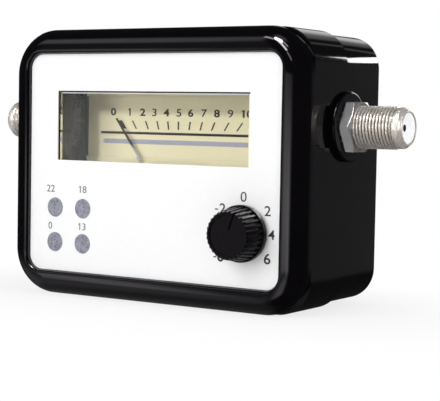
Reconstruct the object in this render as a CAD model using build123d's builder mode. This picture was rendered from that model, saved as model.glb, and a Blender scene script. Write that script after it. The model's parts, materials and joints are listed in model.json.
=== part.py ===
"""A hand-held signal finder: a moving-coil meter, a level knob and four lamps in a two-part black case,
with a threaded coaxial socket on each side.

Millimetres. +X is to the right as the user sees it, +Y goes to the back, +Z is up. The origin lies on the
surface that the case stands on, under the middle of the whole meter. A depth is measured backwards from the
front of the face plate, and a rise is measured upwards from the middle of the plate.
"""
from build123d import *
import os
from math import asin, cos, degrees, pi, radians, sin

os.makedirs("parts", exist_ok=True)

# Every cut runs this far past what it cuts.
overrun = 1.0

# Pieces that are pressed together keep this much between them.
fit_gap = 0.02

# Case: its outside follows from the face plate and from the stack of parts behind it
bezel_side_width = 5.75
bezel_top_height = 5.95
bezel_flat = 1.15
bezel_edge = 0.5
bezel_proud = 1.2
bezel_lip_round = 0.8
bezel_step = 0.2
corner_radius = 10.9
shell_corner_ease = 2.5
wall = 2.0
cover_inset = 0.7
back_round = 1.2
tongue_depth = 1.5
tongue_root = 1.0
tongue_thick = 1.2
tongue_gap = 0.1

# Face plate, a thin printed sheet in the bezel
plate_corner = 3.5
plate_thick = 0.3
plate_gap = 0.1
window_width = 53.5
window_height = 16.4
window_side_margin = 8.15
window_top_margin = 8.65
window_gap = 0.2

# Lamps: a frosted window in the plate, and behind each a light-emitting diode on long leads
lamp_x_share = 0.33166
lamp_pitch = 8.3
lamp_head_gap = 2.5
lamp_window_radius = 2.28
lamp_window_thick = 1.2
lamp_window_gap = 0.05
led_radius = 1.5
led_lip = 0.45
led_gap = 0.1
led_setback = 0.2
led_length = 5.0
led_dome_round = 1.2
led_flange_thick = 1.0
lead_size = 0.5
lead_pitch = 2.54
lead_tail = 0.9
lead_hole_radius = 0.45
lead_edge_margin = 0.65

# Knob
knob_side_margin = 9.1
knob_above_lamps = 1.1
knob_reach = 7.2
knob_gap = 0.85
knob_rest_angle = 20
knob_flange_radius = 6.3
knob_flange_thick = 1.1
knob_flange_lip = 0.25
knob_taper = 0.65
knob_edge = 0.4
knob_flutes = 30
knob_flute_radius = 0.42
knob_rim = 0.9
knob_dish_depth = 0.35
knob_mark_width = 0.7
knob_mark_depth = 0.75
knob_mark_start = 1.1
knob_cap_thick = 1.8
knob_bore_gap = 0.05

# Potentiometer under the knob
shaft_radius = 3.0
shaft_flat = 0.7
shaft_flat_length = 6.0
shaft_hole_gap = 0.4
bush_wall = 0.55
bush_length = 5.0
bush_gap = 0.05
pot_side_wall = 0.7
pot_height = 11.2
pot_depth = 6.9
pot_wall = 1.0
journal_radius = 1.5
wiper_radius = 3.8
wiper_gap = 0.4
wiper_thick = 0.8
brush_size = 0.9
brush_inset = 0.7
track_thick = 1.0
track_gap = 0.1
pin_radius = 0.4
pin_hole_radius = 0.5
pot_pin_pitch = 2.5
pot_pin_drop = 4.4

# Sockets: the thread is the standard 9.525 mm one of coaxial cable plugs, so it sets the scale of the whole
thread_diameter = 9.525
thread_depth = 0.49
thread_run_out = 0.2
socket_above_window = 1.0
socket_length = 14.2
socket_bore_gap = 0.14
boss_proud = 1.15
boss_lip = 1.4
boss_round = 0.45
flange_lip = 1.74
flange_thick = 1.5
stub_wall = 0.75
stub_length = 0.4
collar_step = 0.21
collar_length = 1.5
tip_length = 0.8
tip_step = 0.35
tip_taper = 0.32
socket_rim = 0.43
insulator_setback = 0.15
contact_radius = 0.6
contact_setback = 2.8
contact_tail = 5.0
washer_lip = 1.54
washer_thick = 0.4
nut_wall = 0.71
nut_thick = 2.4
nut_chamfer_width = 1.0
nut_chamfer_height = 0.5
nut_gap = 0.08
side_panel_height = 9.2
side_panel_depth = 0.45

# Screws that hold the case together from behind
case_screw_inset = 7.3
front_boss_radius = 2.7
rear_boss_radius = 4.3
case_screw_radius = 1.4
case_screw_length = 14.0
case_screw_head_radius = 2.6
case_screw_head_thick = 1.8
screw_pit_depth = 9.6
screw_pit_gap = 0.5
screw_slack = 0.2
thread_gap = 0.05

# Circuit board
board_side_gap = 0.5
board_thick = 1.6
board_post_inset = 2.4
board_post_radius = 2.1
board_post_gap = 0.4
board_screw_radius = 0.95
board_screw_length = 8.0
board_screw_head_radius = 1.9
board_screw_head_thick = 1.3

# Parts on the back of the board
shield_width = 44.0
shield_margin = 2.0
shield_depth = 7.5
shield_skin = 0.4
shield_round = 1.0
chip_width = 9.6
chip_height = 6.4
chip_thick = 3.4
chip_edge = 0.4
chip_x = -9.0
choke_radius = 2.0
choke_round = 1.0
choke_length = 7.0
choke_x = 9.0
choke_pitch = 6.6
capacitor_radius = 2.5
capacitor_length = 7.0
capacitor_x = -10.0
capacitor_drop = 1.3
capacitor_pitch = 6.6
capacitor_groove = 0.25
capacitor_groove_width = 0.6
capacitor_groove_setback = 1.25
buzzer_x = 8.0
buzzer_margin = 4.4
buzzer_shield_gap = 0.8
buzzer_back_gap = 5.28
buzzer_radius = 6.0
buzzer_height = 8.5
buzzer_round = 0.8
buzzer_hole_radius = 1.1
buzzer_hole_depth = 4.2
sound_holes = 6
sound_hole_radius = 0.8
sound_ring_radius = 3.2

# Meter housing: a wide window box above a narrower box for the movement
head_side_margin = 2.35
head_above_window = 1.9
head_below_window = 6.9
foot_side_margin = 5.7
foot_bottom_margin = 2.9
meter_skin = 1.2
meter_parting_gap = 0.1
pane_setback = 0.9
pane_thick = 1.0
rim_behind_dial = 1.0
spigot_length = 1.0
spigot_thick = 1.0
spigot_gap = 0.1
rail_gap = 0.1
rail_thick = 1.2
rail_height = 14.0
rail_depth = 6.0

# Meter movement, turning on an axis below the window
pivot_drop = 21.1
half_sweep = 37.1
pane_to_dial = 10.1
dial_thick = 0.5
dial_side_gap = 0.2
dial_screw_inset = 9.1
dial_screw_margin = 1.7
dial_screw_radius = 0.6
dial_screw_length = 3.0
dial_screw_head_radius = 1.2
dial_screw_head_thick = 0.6
dial_post_radius = 1.4
pointer_to_dial = 1.15
pointer_thick = 0.3
pointer_above_middle = 7.7
pointer_root_width = 0.9
pointer_tip_width = 0.35
pointer_hub_radius = 1.1
pointer_hub_length = 0.4
tail_angle = 35
tail_length = 8.3
tail_width = 0.5
weight_inset = 0.9
weight_radius = 0.6
weight_length = 1.4
stop_below_middle = 6.1
stop_radius = 0.4
stop_gap = 0.1
stop_length = 1.6
coil_depth = 4.75
coil_band = 0.6
coil_side_thick = 0.7
coil_width = 3.0
coil_floor_gap = 1.4
core_radius = 4.0
core_gap = 0.3
air_gap = 0.45
yoke_gap = 0.55
yoke_thick = 2.6
web_angle = 28
staff_radius = 0.3
collet_radius = 0.6
collet_gap = 0.3
collet_thick = 0.3
jewel_radius = 1.2
jewel_length = 1.9
jewel_cup_radius = 0.4
jewel_cup_depth = 0.5
jewel_overlap = 0.3
bridge_to_pointer = 1.2
bridge_thick = 0.8
bridge_height = 3.4
bridge_leg_inset = 1.4
bridge_leg_radius = 1.0
bridge_screw_radius = 0.5
bridge_screw_head_radius = 1.1
bridge_screw_head_thick = 0.6
bridge_screw_bite = 1.6
spring_inner_radius = 0.78
spring_pitch = 0.62
spring_turns = 3
spring_strip = 0.12
stud_radius = 0.35
stud_gap = 0.06
terminal_inset = 4.4
terminal_margin = 2.6
terminal_radius = 0.6
terminal_gap = 0.05
terminal_head_radius = 1.0
terminal_head_thick = 0.6

# Meter, from the pane back: dial, pointer, bridge, coil and floor
dial_depth = pane_setback + pane_thick + pane_to_dial
pointer_depth = dial_depth - pointer_to_dial
bridge_depth = pointer_depth - bridge_to_pointer - bridge_thick
coil_front_depth = pointer_depth + pointer_thick + pointer_hub_length
coil_back_depth = coil_front_depth + coil_depth
core_front_depth = coil_front_depth + coil_band + core_gap
core_back_depth = coil_back_depth - coil_band - core_gap
cover_rim_depth = dial_depth + rim_behind_dial
floor_depth = coil_back_depth + coil_floor_gap
meter_back_depth = floor_depth + meter_skin

# Depths of the case, the board and what they hold
parting_depth = meter_back_depth + meter_parting_gap
board_depth = parting_depth + contact_radius + fit_gap
board_back_depth = board_depth + board_thick
plate_to_back = board_back_depth + buzzer_height + buzzer_back_gap + wall
wall_back_depth = plate_thick + wall
led_front_depth = lamp_window_thick + led_setback
led_back_depth = led_front_depth + led_length
shaft_front_depth = knob_cap_thick + knob_bore_gap - knob_reach
pot_front_depth = board_depth - pot_depth
track_front_depth = board_depth - track_thick
chamber_front_depth = pot_front_depth + pot_wall

# Widths and heights, from the window out to the case
led_flange_radius = led_radius + led_lip
bottom_margin = case_screw_inset + rear_boss_radius + board_side_gap + lead_edge_margin
lamp_field_height = lamp_head_gap + led_flange_radius + lamp_pitch
window_to_case_bottom = head_below_window + lamp_field_height + bottom_margin
plate_width = window_width + 2 * window_side_margin
plate_height = window_top_margin + window_height + window_to_case_bottom - bezel_top_height
case_width = plate_width + 2 * bezel_side_width
case_height = plate_height + 2 * bezel_top_height
window_rise = plate_height / 2 - window_top_margin - window_height / 2
bezel_round = bezel_top_height - bezel_flat
bezel_skirt = bezel_round - bezel_proud + bezel_edge
shell_width = case_width - 2 * bezel_step
shell_height = case_height - 2 * bezel_step
shell_radius = corner_radius - bezel_step - shell_corner_ease
cover_width = shell_width - 2 * cover_inset
cover_height = shell_height - 2 * cover_inset
cover_radius = shell_radius - cover_inset
case_screw_x = case_width / 2 - case_screw_inset
case_screw_z = case_height / 2 - case_screw_inset

# Origin of the whole: bottom middle of the case, half way between the knob's face and the back
plate_y = (knob_reach - plate_to_back) / 2
mid_z = case_height / 2
parting_y = plate_y + parting_depth

# Meter housing and movement
head_width = window_width + 2 * head_side_margin
head_top_rise = window_rise + window_height / 2 + head_above_window
head_bottom_rise = window_rise - window_height / 2 - head_below_window
head_height = head_top_rise - head_bottom_rise
coil_inner_radius = core_radius + air_gap
coil_outer_radius = coil_inner_radius + coil_side_thick
yoke_inner_radius = coil_outer_radius + yoke_gap
yoke_radius = yoke_inner_radius + yoke_thick
bridge_leg_x = yoke_inner_radius + bridge_leg_inset
pivot_rise = window_rise - pivot_drop
foot_width = 2 * (yoke_radius + foot_side_margin)
foot_bottom_rise = pivot_rise - yoke_radius - foot_bottom_margin
pointer_length = pivot_drop + pointer_above_middle
stop_orbit = pivot_drop - stop_below_middle
weight_orbit = tail_length - weight_inset
stud_orbit = spring_inner_radius + spring_turns * spring_pitch + stud_radius + stud_gap
dial_inset = meter_skin + spigot_gap + spigot_thick + dial_side_gap
dial_width = head_width - 2 * dial_inset
dial_top_rise = head_top_rise - dial_inset
dial_bottom_rise = head_bottom_rise + dial_inset
dial_screw_rise = dial_bottom_rise + dial_screw_margin
dial_screw_x = head_width / 2 - dial_screw_inset

# Lamps, knob and potentiometer
lamp_x = -lamp_x_share * plate_width
lamp_offset = lamp_pitch / 2
lamp_rise = head_bottom_rise - lamp_head_gap - led_flange_radius - lamp_offset
knob_x = plate_width / 2 - knob_side_margin
knob_rise = lamp_rise + knob_above_lamps
knob_grip_base_radius = knob_flange_radius - knob_flange_lip
knob_grip_face_radius = knob_grip_base_radius - knob_taper
knob_dish_radius = knob_grip_face_radius - knob_rim
bush_radius = shaft_radius + bush_gap + bush_wall
pot_chamber_radius = wiper_radius + wiper_gap
pot_width = 2 * (pot_chamber_radius + pot_side_wall)
brush_orbit = wiper_radius - brush_inset

# Sockets
socket_z = mid_z + window_rise + socket_above_window
socket_radius = thread_diameter / 2
shank_radius = socket_radius - thread_depth
collar_radius = socket_radius - collar_step
tip_base_radius = collar_radius - tip_step
tip_radius = tip_base_radius - tip_taper
insulator_radius = tip_radius - socket_rim
stub_radius = insulator_radius + stub_wall
flange_radius = socket_radius + flange_lip
boss_radius = flange_radius + boss_lip
washer_radius = socket_radius + washer_lip
bore_radius = socket_radius + socket_bore_gap
nut_flat_radius = socket_radius + nut_gap + nut_wall
nut_corner_radius = nut_flat_radius / cos(pi / 6)
pad_reach = cover_width / 2 - wall
flange_reach = pad_reach - flange_thick
boss_reach = shell_width / 2 + boss_proud
nut_reach = boss_reach + washer_thick
nut_end_reach = nut_reach + nut_thick
thread_start_reach = nut_end_reach + thread_run_out
socket_reach = boss_reach + socket_length
thread_end_reach = socket_reach - tip_length - collar_length

# Board and what it carries
board_width = 2 * (knob_x + pot_width / 2 + board_post_gap + board_post_radius + board_post_inset)
board_height = 2 * (case_screw_z - rear_boss_radius - board_side_gap)
board_post_x = board_width / 2 - board_post_inset
board_post_z = board_height / 2 - board_post_inset
buzzer_rise = -board_height / 2 + buzzer_margin + buzzer_radius
shield_bottom_rise = buzzer_rise + buzzer_radius + buzzer_shield_gap
shield_height = board_height / 2 - shield_margin - shield_bottom_rise
shield_rise = shield_bottom_rise + shield_height / 2
capacitor_rise = buzzer_rise - capacitor_drop
terminal_x = foot_width / 2 - terminal_inset
terminal_rise = -board_height / 2 + terminal_margin


def facing(depth, x=0, rise=0):
    """Plane parallel to the face plate: local x to the right, local y up, its normal towards the user."""
    return Plane(origin=(x, plate_y + depth, mid_z + rise), x_dir=(1, 0, 0), z_dir=(0, -1, 0))


def turned(depth, x, rise, clockwise):
    """The facing plane at a pivot, turned clockwise as the user sees it."""
    angle = radians(clockwise)
    origin = (x, plate_y + depth, mid_z + rise)
    return Plane(origin=origin, x_dir=(cos(angle), 0, -sin(angle)), z_dir=(0, -1, 0))


def swung(depth):
    """The meter's plane at rest: local y runs along the pointer."""
    return turned(depth, 0, pivot_rise, -half_sweep)


def sideways(side, reach):
    """Plane across a socket's axis that faces outwards: local x runs to the back."""
    return Plane(origin=(side * reach, parting_y, socket_z), x_dir=(0, 1, 0), z_dir=(side, 0, 0))


def lengthways(side):
    """Plane through a socket's axis: local x runs outwards from the middle of the case, local y up."""
    return Plane(origin=(0, parting_y, socket_z), x_dir=(side, 0, 0), z_dir=(0, -side, 0))


def socket_axis(direction=1):
    return Axis((0, parting_y, socket_z), (direction, 0, 0))


def half_boss(direction):
    """Round pads for both sockets, half a turn of each, with a rounded rim."""
    for side in (1, -1):
        with BuildSketch(lengthways(side)) as profile:
            with BuildLine():
                Polyline(
                    (boss_reach - boss_round, boss_radius),
                    (pad_reach, boss_radius),
                    (pad_reach, 0),
                    (boss_reach, 0),
                    (boss_reach, boss_radius - boss_round),
                )
                CenterArc((boss_reach - boss_round, boss_radius - boss_round), boss_round, 0, 90)
            make_face()
        revolve(profile.sketch, axis=socket_axis(direction), revolution_arc=180)


def socket_bores():
    """Holes for both sockets, from inside the case to past the pads."""
    for side in (1, -1):
        with BuildSketch(sideways(side, boss_reach + overrun)) as bore:
            Circle(bore_radius)
        extrude(bore.sketch, amount=flange_reach - boss_reach - overrun, mode=Mode.SUBTRACT)


def tee(inset):
    """Outline of the meter's housing, drawn in from its outside."""
    with Locations((0, (head_top_rise + head_bottom_rise) / 2)):
        Rectangle(head_width - 2 * inset, head_height - 2 * inset)
    with Locations((0, (head_top_rise + foot_bottom_rise) / 2)):
        Rectangle(foot_width - 2 * inset, head_top_rise - foot_bottom_rise - 2 * inset)


# Front shell: bezel, walls, and the posts that carry the board and take the case screws
with BuildPart() as front_shell:
    with BuildSketch(facing(-bezel_proud)):
        RectangleRounded(case_width, case_height, corner_radius)
    extrude(amount=-(bezel_proud + bezel_skirt))
    fillet(front_shell.faces().sort_by(Axis.Y)[0].edges(), radius=bezel_round)
    with BuildSketch(facing(bezel_skirt)):
        RectangleRounded(shell_width, shell_height, shell_radius)
    extrude(amount=bezel_skirt - parting_depth)
    with BuildSketch(facing(parting_depth)):
        RectangleRounded(shell_width - 2 * wall, shell_height - 2 * wall, shell_radius - wall)
    extrude(amount=parting_depth - wall_back_depth, mode=Mode.SUBTRACT)
    with BuildSketch(facing(plate_thick)):
        RectangleRounded(plate_width + 2 * plate_gap, plate_height + 2 * plate_gap, plate_corner + plate_gap)
    extrude(amount=plate_thick + bezel_proud, mode=Mode.SUBTRACT)
    fillet(front_shell.faces().sort_by(Axis.Y)[0].inner_wires()[0].edges(), radius=bezel_lip_round)
    half_boss(1)
    socket_bores()
    for side in (1, -1):
        panel_length = parting_depth - boss_radius - bezel_skirt
        panel_middle = -(boss_radius + panel_length / 2)
        with BuildSketch(sideways(side, shell_width / 2)):
            with Locations((panel_middle, 0)):
                Rectangle(panel_length, side_panel_height)
        extrude(amount=-side_panel_depth, mode=Mode.SUBTRACT)
    with BuildSketch(facing(wall_back_depth)):
        with GridLocations(2 * case_screw_x, 2 * case_screw_z, 2, 2):
            Circle(front_boss_radius)
    extrude(amount=wall_back_depth - parting_depth)
    with BuildSketch(facing(wall_back_depth)):
        with GridLocations(2 * board_post_x, 2 * board_post_z, 2, 2):
            Circle(board_post_radius)
    extrude(amount=wall_back_depth - board_depth)
    rail_middle = head_width / 2 + rail_gap + rail_thick / 2
    with BuildSketch(facing(wall_back_depth, rise=window_rise)):
        with GridLocations(2 * rail_middle, 0, 2, 1):
            Rectangle(rail_thick, rail_height)
    extrude(amount=-rail_depth)
    with BuildSketch(facing(parting_depth)):
        with GridLocations(2 * case_screw_x, 2 * case_screw_z, 2, 2):
            Circle(case_screw_radius + thread_gap)
    extrude(amount=case_screw_length, mode=Mode.SUBTRACT)
    with BuildSketch(facing(board_depth)):
        with GridLocations(2 * board_post_x, 2 * board_post_z, 2, 2):
            Circle(board_screw_radius + thread_gap)
    extrude(amount=board_screw_length, mode=Mode.SUBTRACT)
    with BuildSketch(facing(wall_back_depth)):
        with Locations((0, window_rise)):
            Rectangle(window_width + 2 * window_gap, window_height + 2 * window_gap)
        with Locations((knob_x, knob_rise)):
            Circle(shaft_radius + shaft_hole_gap)
        with Locations((lamp_x, lamp_rise)):
            with GridLocations(2 * lamp_offset, 2 * lamp_offset, 2, 2):
                Circle(led_radius + led_gap)
    extrude(amount=wall + overrun, mode=Mode.SUBTRACT)
    with BuildSketch(facing(lamp_window_thick, lamp_x, lamp_rise)):
        with GridLocations(2 * lamp_offset, 2 * lamp_offset, 2, 2):
            Circle(lamp_window_radius + lamp_window_gap)
    extrude(amount=lamp_window_thick + overrun, mode=Mode.SUBTRACT)
front_shell.part.label = "front_shell"
export_step(front_shell.part, "parts/front_shell.step")

# Rear cover: a tongue that enters the front shell, screw pits, and holes over the buzzer
with BuildPart() as rear_cover:
    with BuildSketch(facing(parting_depth)):
        RectangleRounded(cover_width, cover_height, cover_radius)
    extrude(amount=parting_depth - plate_to_back)
    fillet(rear_cover.faces().sort_by(Axis.Y)[-1].edges(), radius=back_round)
    with BuildSketch(facing(parting_depth)):
        RectangleRounded(cover_width - 2 * wall, cover_height - 2 * wall, cover_radius - wall)
    extrude(amount=parting_depth - plate_to_back + wall, mode=Mode.SUBTRACT)
    tongue_inset = wall + tongue_gap
    with BuildSketch(facing(parting_depth - tongue_depth)):
        tongue_width = shell_width - 2 * tongue_inset
        tongue_height = shell_height - 2 * tongue_inset
        tongue_radius = shell_radius - tongue_inset
        RectangleRounded(tongue_width, tongue_height, tongue_radius)
        RectangleRounded(
            tongue_width - 2 * tongue_thick,
            tongue_height - 2 * tongue_thick,
            tongue_radius - tongue_thick,
            mode=Mode.SUBTRACT,
        )
        with Locations((0, socket_z - mid_z)):
            Rectangle(case_width, 2 * (boss_radius + tongue_gap), mode=Mode.SUBTRACT)
    extrude(amount=-tongue_depth - tongue_root)
    half_boss(-1)
    with BuildSketch(facing(parting_depth)):
        with GridLocations(2 * case_screw_x, 2 * case_screw_z, 2, 2):
            Circle(rear_boss_radius)
    extrude(amount=parting_depth - plate_to_back + wall)
    socket_bores()
    with BuildSketch(facing(parting_depth)):
        with GridLocations(2 * case_screw_x, 2 * case_screw_z, 2, 2):
            Circle(case_screw_radius + screw_slack)
    extrude(amount=parting_depth - plate_to_back, mode=Mode.SUBTRACT)
    with BuildSketch(facing(plate_to_back)):
        with GridLocations(2 * case_screw_x, 2 * case_screw_z, 2, 2):
            Circle(case_screw_head_radius + screw_pit_gap)
    extrude(amount=screw_pit_depth, mode=Mode.SUBTRACT)
    with BuildSketch(facing(plate_to_back, buzzer_x, buzzer_rise)):
        Circle(sound_hole_radius)
        with PolarLocations(sound_ring_radius, sound_holes):
            Circle(sound_hole_radius)
    extrude(amount=wall, mode=Mode.SUBTRACT)
rear_cover.part.label = "rear_cover"
export_step(rear_cover.part, "parts/rear_cover.step")

# Face plate
with BuildPart() as face_plate:
    with BuildSketch(facing(0)):
        RectangleRounded(plate_width, plate_height, plate_corner)
        with Locations((0, window_rise)):
            Rectangle(window_width, window_height, mode=Mode.SUBTRACT)
        with Locations((knob_x, knob_rise)):
            Circle(shaft_radius + shaft_hole_gap, mode=Mode.SUBTRACT)
        with Locations((lamp_x, lamp_rise)):
            with GridLocations(2 * lamp_offset, 2 * lamp_offset, 2, 2):
                Circle(lamp_window_radius + lamp_window_gap, mode=Mode.SUBTRACT)
    extrude(amount=-plate_thick)
face_plate.part.label = "face_plate"
export_step(face_plate.part, "parts/face_plate.step")

# Lamps: a frosted window in the plate and a diode behind it, one pair at each place
lamp_places = {
    "upper_left": (-1, 1),
    "upper_right": (1, 1),
    "lower_left": (-1, -1),
    "lower_right": (1, -1),
}
for place, (across, up) in lamp_places.items():
    x = lamp_x + across * lamp_offset
    rise = lamp_rise + up * lamp_offset
    with BuildPart() as lamp_window:
        with BuildSketch(facing(0, x, rise)):
            Circle(lamp_window_radius)
        extrude(amount=-lamp_window_thick)
    lamp_window.part.label = f"lamp_window_{place}"
    export_step(lamp_window.part, f"parts/lamp_window_{place}.step")

    with BuildPart() as led:
        with BuildSketch(facing(led_back_depth, x, rise)):
            Circle(led_radius)
        extrude(amount=led_length)
        fillet(led.faces().sort_by(Axis.Y)[0].edges(), radius=led_dome_round)
        with BuildSketch(facing(led_back_depth, x, rise)):
            Circle(led_flange_radius)
        extrude(amount=-led_flange_thick)
    led.part.label = f"led_{place}"
    export_step(led.part, f"parts/led_{place}.step")

with BuildPart() as led_leads:
    with BuildSketch(facing(led_back_depth + led_flange_thick, lamp_x, lamp_rise)):
        with GridLocations(2 * lamp_offset, 2 * lamp_offset, 2, 2):
            with GridLocations(lead_pitch, 0, 2, 1):
                Rectangle(lead_size, lead_size)
    extrude(amount=led_back_depth + led_flange_thick - board_back_depth - lead_tail)
led_leads.part.label = "led_leads"
export_step(led_leads.part, "parts/led_leads.step")

# Knob: a tapered fluted grip on a plain flange, with a dished face and a cut mark
with BuildPart() as knob:
    for depth, radius in (
        (-knob_gap - knob_flange_thick, knob_grip_base_radius),
        (-knob_reach, knob_grip_face_radius),
    ):
        with BuildSketch(turned(depth, knob_x, knob_rise, knob_rest_angle)):
            Circle(radius)
            with PolarLocations(radius, knob_flutes):
                Circle(knob_flute_radius, mode=Mode.SUBTRACT)
    loft(ruled=True)
    with BuildSketch(Plane.YZ.offset(knob_x)):
        axis_rise = mid_z + knob_rise
        with BuildLine():
            Polyline(
                (plate_y - knob_reach, axis_rise),
                (plate_y - knob_reach, axis_rise + knob_grip_face_radius - knob_edge),
                (plate_y - knob_reach + knob_edge, axis_rise + knob_grip_face_radius),
                (plate_y - knob_gap, axis_rise + knob_flange_radius),
                (plate_y - knob_gap, axis_rise),
                close=True,
            )
        make_face()
    revolve(axis=Axis((knob_x, 0, axis_rise), (0, 1, 0)), mode=Mode.INTERSECT)
    with BuildSketch(turned(-knob_gap, knob_x, knob_rise, knob_rest_angle)):
        Circle(knob_flange_radius)
    extrude(amount=knob_flange_thick)
    with BuildSketch(turned(-knob_reach, knob_x, knob_rise, knob_rest_angle)):
        Circle(knob_dish_radius)
    extrude(amount=-knob_dish_depth, mode=Mode.SUBTRACT)
    mark_length = knob_grip_face_radius + overrun - knob_mark_start
    with BuildSketch(turned(-knob_reach, knob_x, knob_rise, knob_rest_angle)):
        with Locations((0, knob_mark_start + mark_length / 2)):
            Rectangle(knob_mark_width, mark_length)
    extrude(amount=-knob_mark_depth, mode=Mode.SUBTRACT)
    with BuildSketch(turned(-knob_gap, knob_x, knob_rise, knob_rest_angle)):
        Circle(shaft_radius + knob_bore_gap)
        with Locations((0, shaft_radius - shaft_flat / 2 + knob_bore_gap)):
            Rectangle(2 * shaft_radius, shaft_flat, mode=Mode.SUBTRACT)
    extrude(amount=knob_reach - knob_gap - knob_cap_thick, mode=Mode.SUBTRACT)
knob.part.label = "knob"
export_step(knob.part, "parts/knob.step")

# Potentiometer: shaft with a flat for the knob, wiper, housing with its bush, and the track wafer
journal_end_depth = track_front_depth - track_gap
wiper_front_depth = chamber_front_depth + track_gap
with BuildPart() as pot_shaft:
    with BuildSketch(turned(shaft_front_depth, knob_x, knob_rise, knob_rest_angle)):
        Circle(shaft_radius)
        with Locations((0, shaft_radius - shaft_flat / 2)):
            Rectangle(2 * shaft_radius, shaft_flat, mode=Mode.SUBTRACT)
    extrude(amount=-shaft_flat_length)
    with BuildSketch(turned(shaft_front_depth + shaft_flat_length, knob_x, knob_rise, knob_rest_angle)):
        Circle(shaft_radius)
    extrude(amount=shaft_front_depth + shaft_flat_length - wiper_front_depth)
    with BuildSketch(turned(wiper_front_depth, knob_x, knob_rise, knob_rest_angle)):
        Circle(journal_radius)
    extrude(amount=wiper_front_depth - journal_end_depth)
pot_shaft.part.label = "pot_shaft"
export_step(pot_shaft.part, "parts/pot_shaft.step")

with BuildPart() as pot_wiper:
    with BuildSketch(turned(wiper_front_depth, knob_x, knob_rise, knob_rest_angle)):
        Circle(wiper_radius)
        Circle(journal_radius + fit_gap, mode=Mode.SUBTRACT)
    extrude(amount=-wiper_thick)
    with BuildSketch(turned(wiper_front_depth + wiper_thick, knob_x, knob_rise, knob_rest_angle)):
        with Locations((0, brush_orbit)):
            Rectangle(brush_size, brush_size)
    extrude(amount=wiper_front_depth + wiper_thick - journal_end_depth)
pot_wiper.part.label = "pot_wiper"
export_step(pot_wiper.part, "parts/pot_wiper.step")

with BuildPart() as pot_housing:
    with BuildSketch(facing(pot_front_depth, knob_x, knob_rise)):
        Rectangle(pot_width, pot_height)
    extrude(amount=pot_front_depth - track_front_depth)
    with BuildSketch(facing(pot_front_depth, knob_x, knob_rise)):
        Circle(bush_radius)
    extrude(amount=bush_length)
    with BuildSketch(facing(track_front_depth, knob_x, knob_rise)):
        Circle(pot_chamber_radius)
    extrude(amount=track_front_depth - chamber_front_depth, mode=Mode.SUBTRACT)
    with BuildSketch(facing(chamber_front_depth, knob_x, knob_rise)):
        Circle(shaft_radius + bush_gap)
    extrude(amount=pot_wall + bush_length, mode=Mode.SUBTRACT)
pot_housing.part.label = "pot_housing"
export_step(pot_housing.part, "parts/pot_housing.step")

with BuildPart() as pot_track:
    with BuildSketch(facing(track_front_depth, knob_x, knob_rise)):
        Rectangle(pot_width, pot_height)
    extrude(amount=-track_thick)
    with BuildSketch(facing(board_depth, knob_x, knob_rise - pot_pin_drop)):
        with GridLocations(pot_pin_pitch, 0, 3, 1):
            Circle(pin_radius)
    extrude(amount=-(board_thick + lead_tail))
pot_track.part.label = "pot_track"
export_step(pot_track.part, "parts/pot_track.step")

# Sockets, one at each side
for side, side_name in ((1, "right"), (-1, "left")):
    with BuildPart() as socket_body:
        with BuildSketch(lengthways(side)):
            with BuildLine():
                Polyline(
                    (flange_reach - stub_length, insulator_radius + fit_gap),
                    (flange_reach - stub_length, stub_radius),
                    (flange_reach, stub_radius),
                    (flange_reach, flange_radius),
                    (pad_reach, flange_radius),
                    (pad_reach, shank_radius),
                    (thread_start_reach, shank_radius),
                    (thread_start_reach, socket_radius),
                    (thread_end_reach, socket_radius),
                    (thread_end_reach, collar_radius),
                    (thread_end_reach + collar_length, collar_radius),
                    (thread_end_reach + collar_length, tip_base_radius),
                    (socket_reach, tip_radius),
                    (socket_reach, insulator_radius + fit_gap),
                    close=True,
                )
            make_face()
        revolve(axis=socket_axis())
    socket_body.part.label = f"{side_name}_socket_body"
    export_step(socket_body.part, f"parts/{side_name}_socket_body.step")

    insulator_reach = socket_reach - insulator_setback
    with BuildPart() as insulator:
        with BuildSketch(sideways(side, insulator_reach)):
            Circle(insulator_radius)
            Circle(contact_radius + fit_gap, mode=Mode.SUBTRACT)
        extrude(amount=flange_reach - stub_length - insulator_reach)
    insulator.part.label = f"{side_name}_socket_insulator"
    export_step(insulator.part, f"parts/{side_name}_socket_insulator.step")

    contact_reach = insulator_reach - contact_setback
    with BuildPart() as contact:
        with BuildSketch(sideways(side, contact_reach)):
            Circle(contact_radius)
        extrude(amount=flange_reach - contact_tail - contact_reach)
    contact.part.label = f"{side_name}_socket_contact"
    export_step(contact.part, f"parts/{side_name}_socket_contact.step")

    with BuildPart() as washer:
        with BuildSketch(sideways(side, boss_reach)):
            Circle(washer_radius)
            Circle(socket_radius + nut_gap, mode=Mode.SUBTRACT)
        extrude(amount=washer_thick)
    washer.part.label = f"{side_name}_socket_washer"
    export_step(washer.part, f"parts/{side_name}_socket_washer.step")

    with BuildPart() as nut:
        with BuildSketch(sideways(side, nut_reach)):
            RegularPolygon(nut_flat_radius, 6, major_radius=False)
        extrude(amount=nut_thick)
        with BuildSketch(lengthways(side)):
            with BuildLine():
                Polyline(
                    (nut_reach, 0),
                    (nut_reach, nut_corner_radius),
                    (nut_end_reach - nut_chamfer_height, nut_corner_radius),
                    (nut_end_reach, nut_corner_radius - nut_chamfer_width),
                    (nut_end_reach, 0),
                    close=True,
                )
            make_face()
        revolve(axis=socket_axis(), mode=Mode.INTERSECT)
        with BuildSketch(sideways(side, nut_reach)):
            Circle(shank_radius + fit_gap)
        extrude(amount=nut_thick, mode=Mode.SUBTRACT)
    nut.part.label = f"{side_name}_socket_nut"
    export_step(nut.part, f"parts/{side_name}_socket_nut.step")

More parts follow.
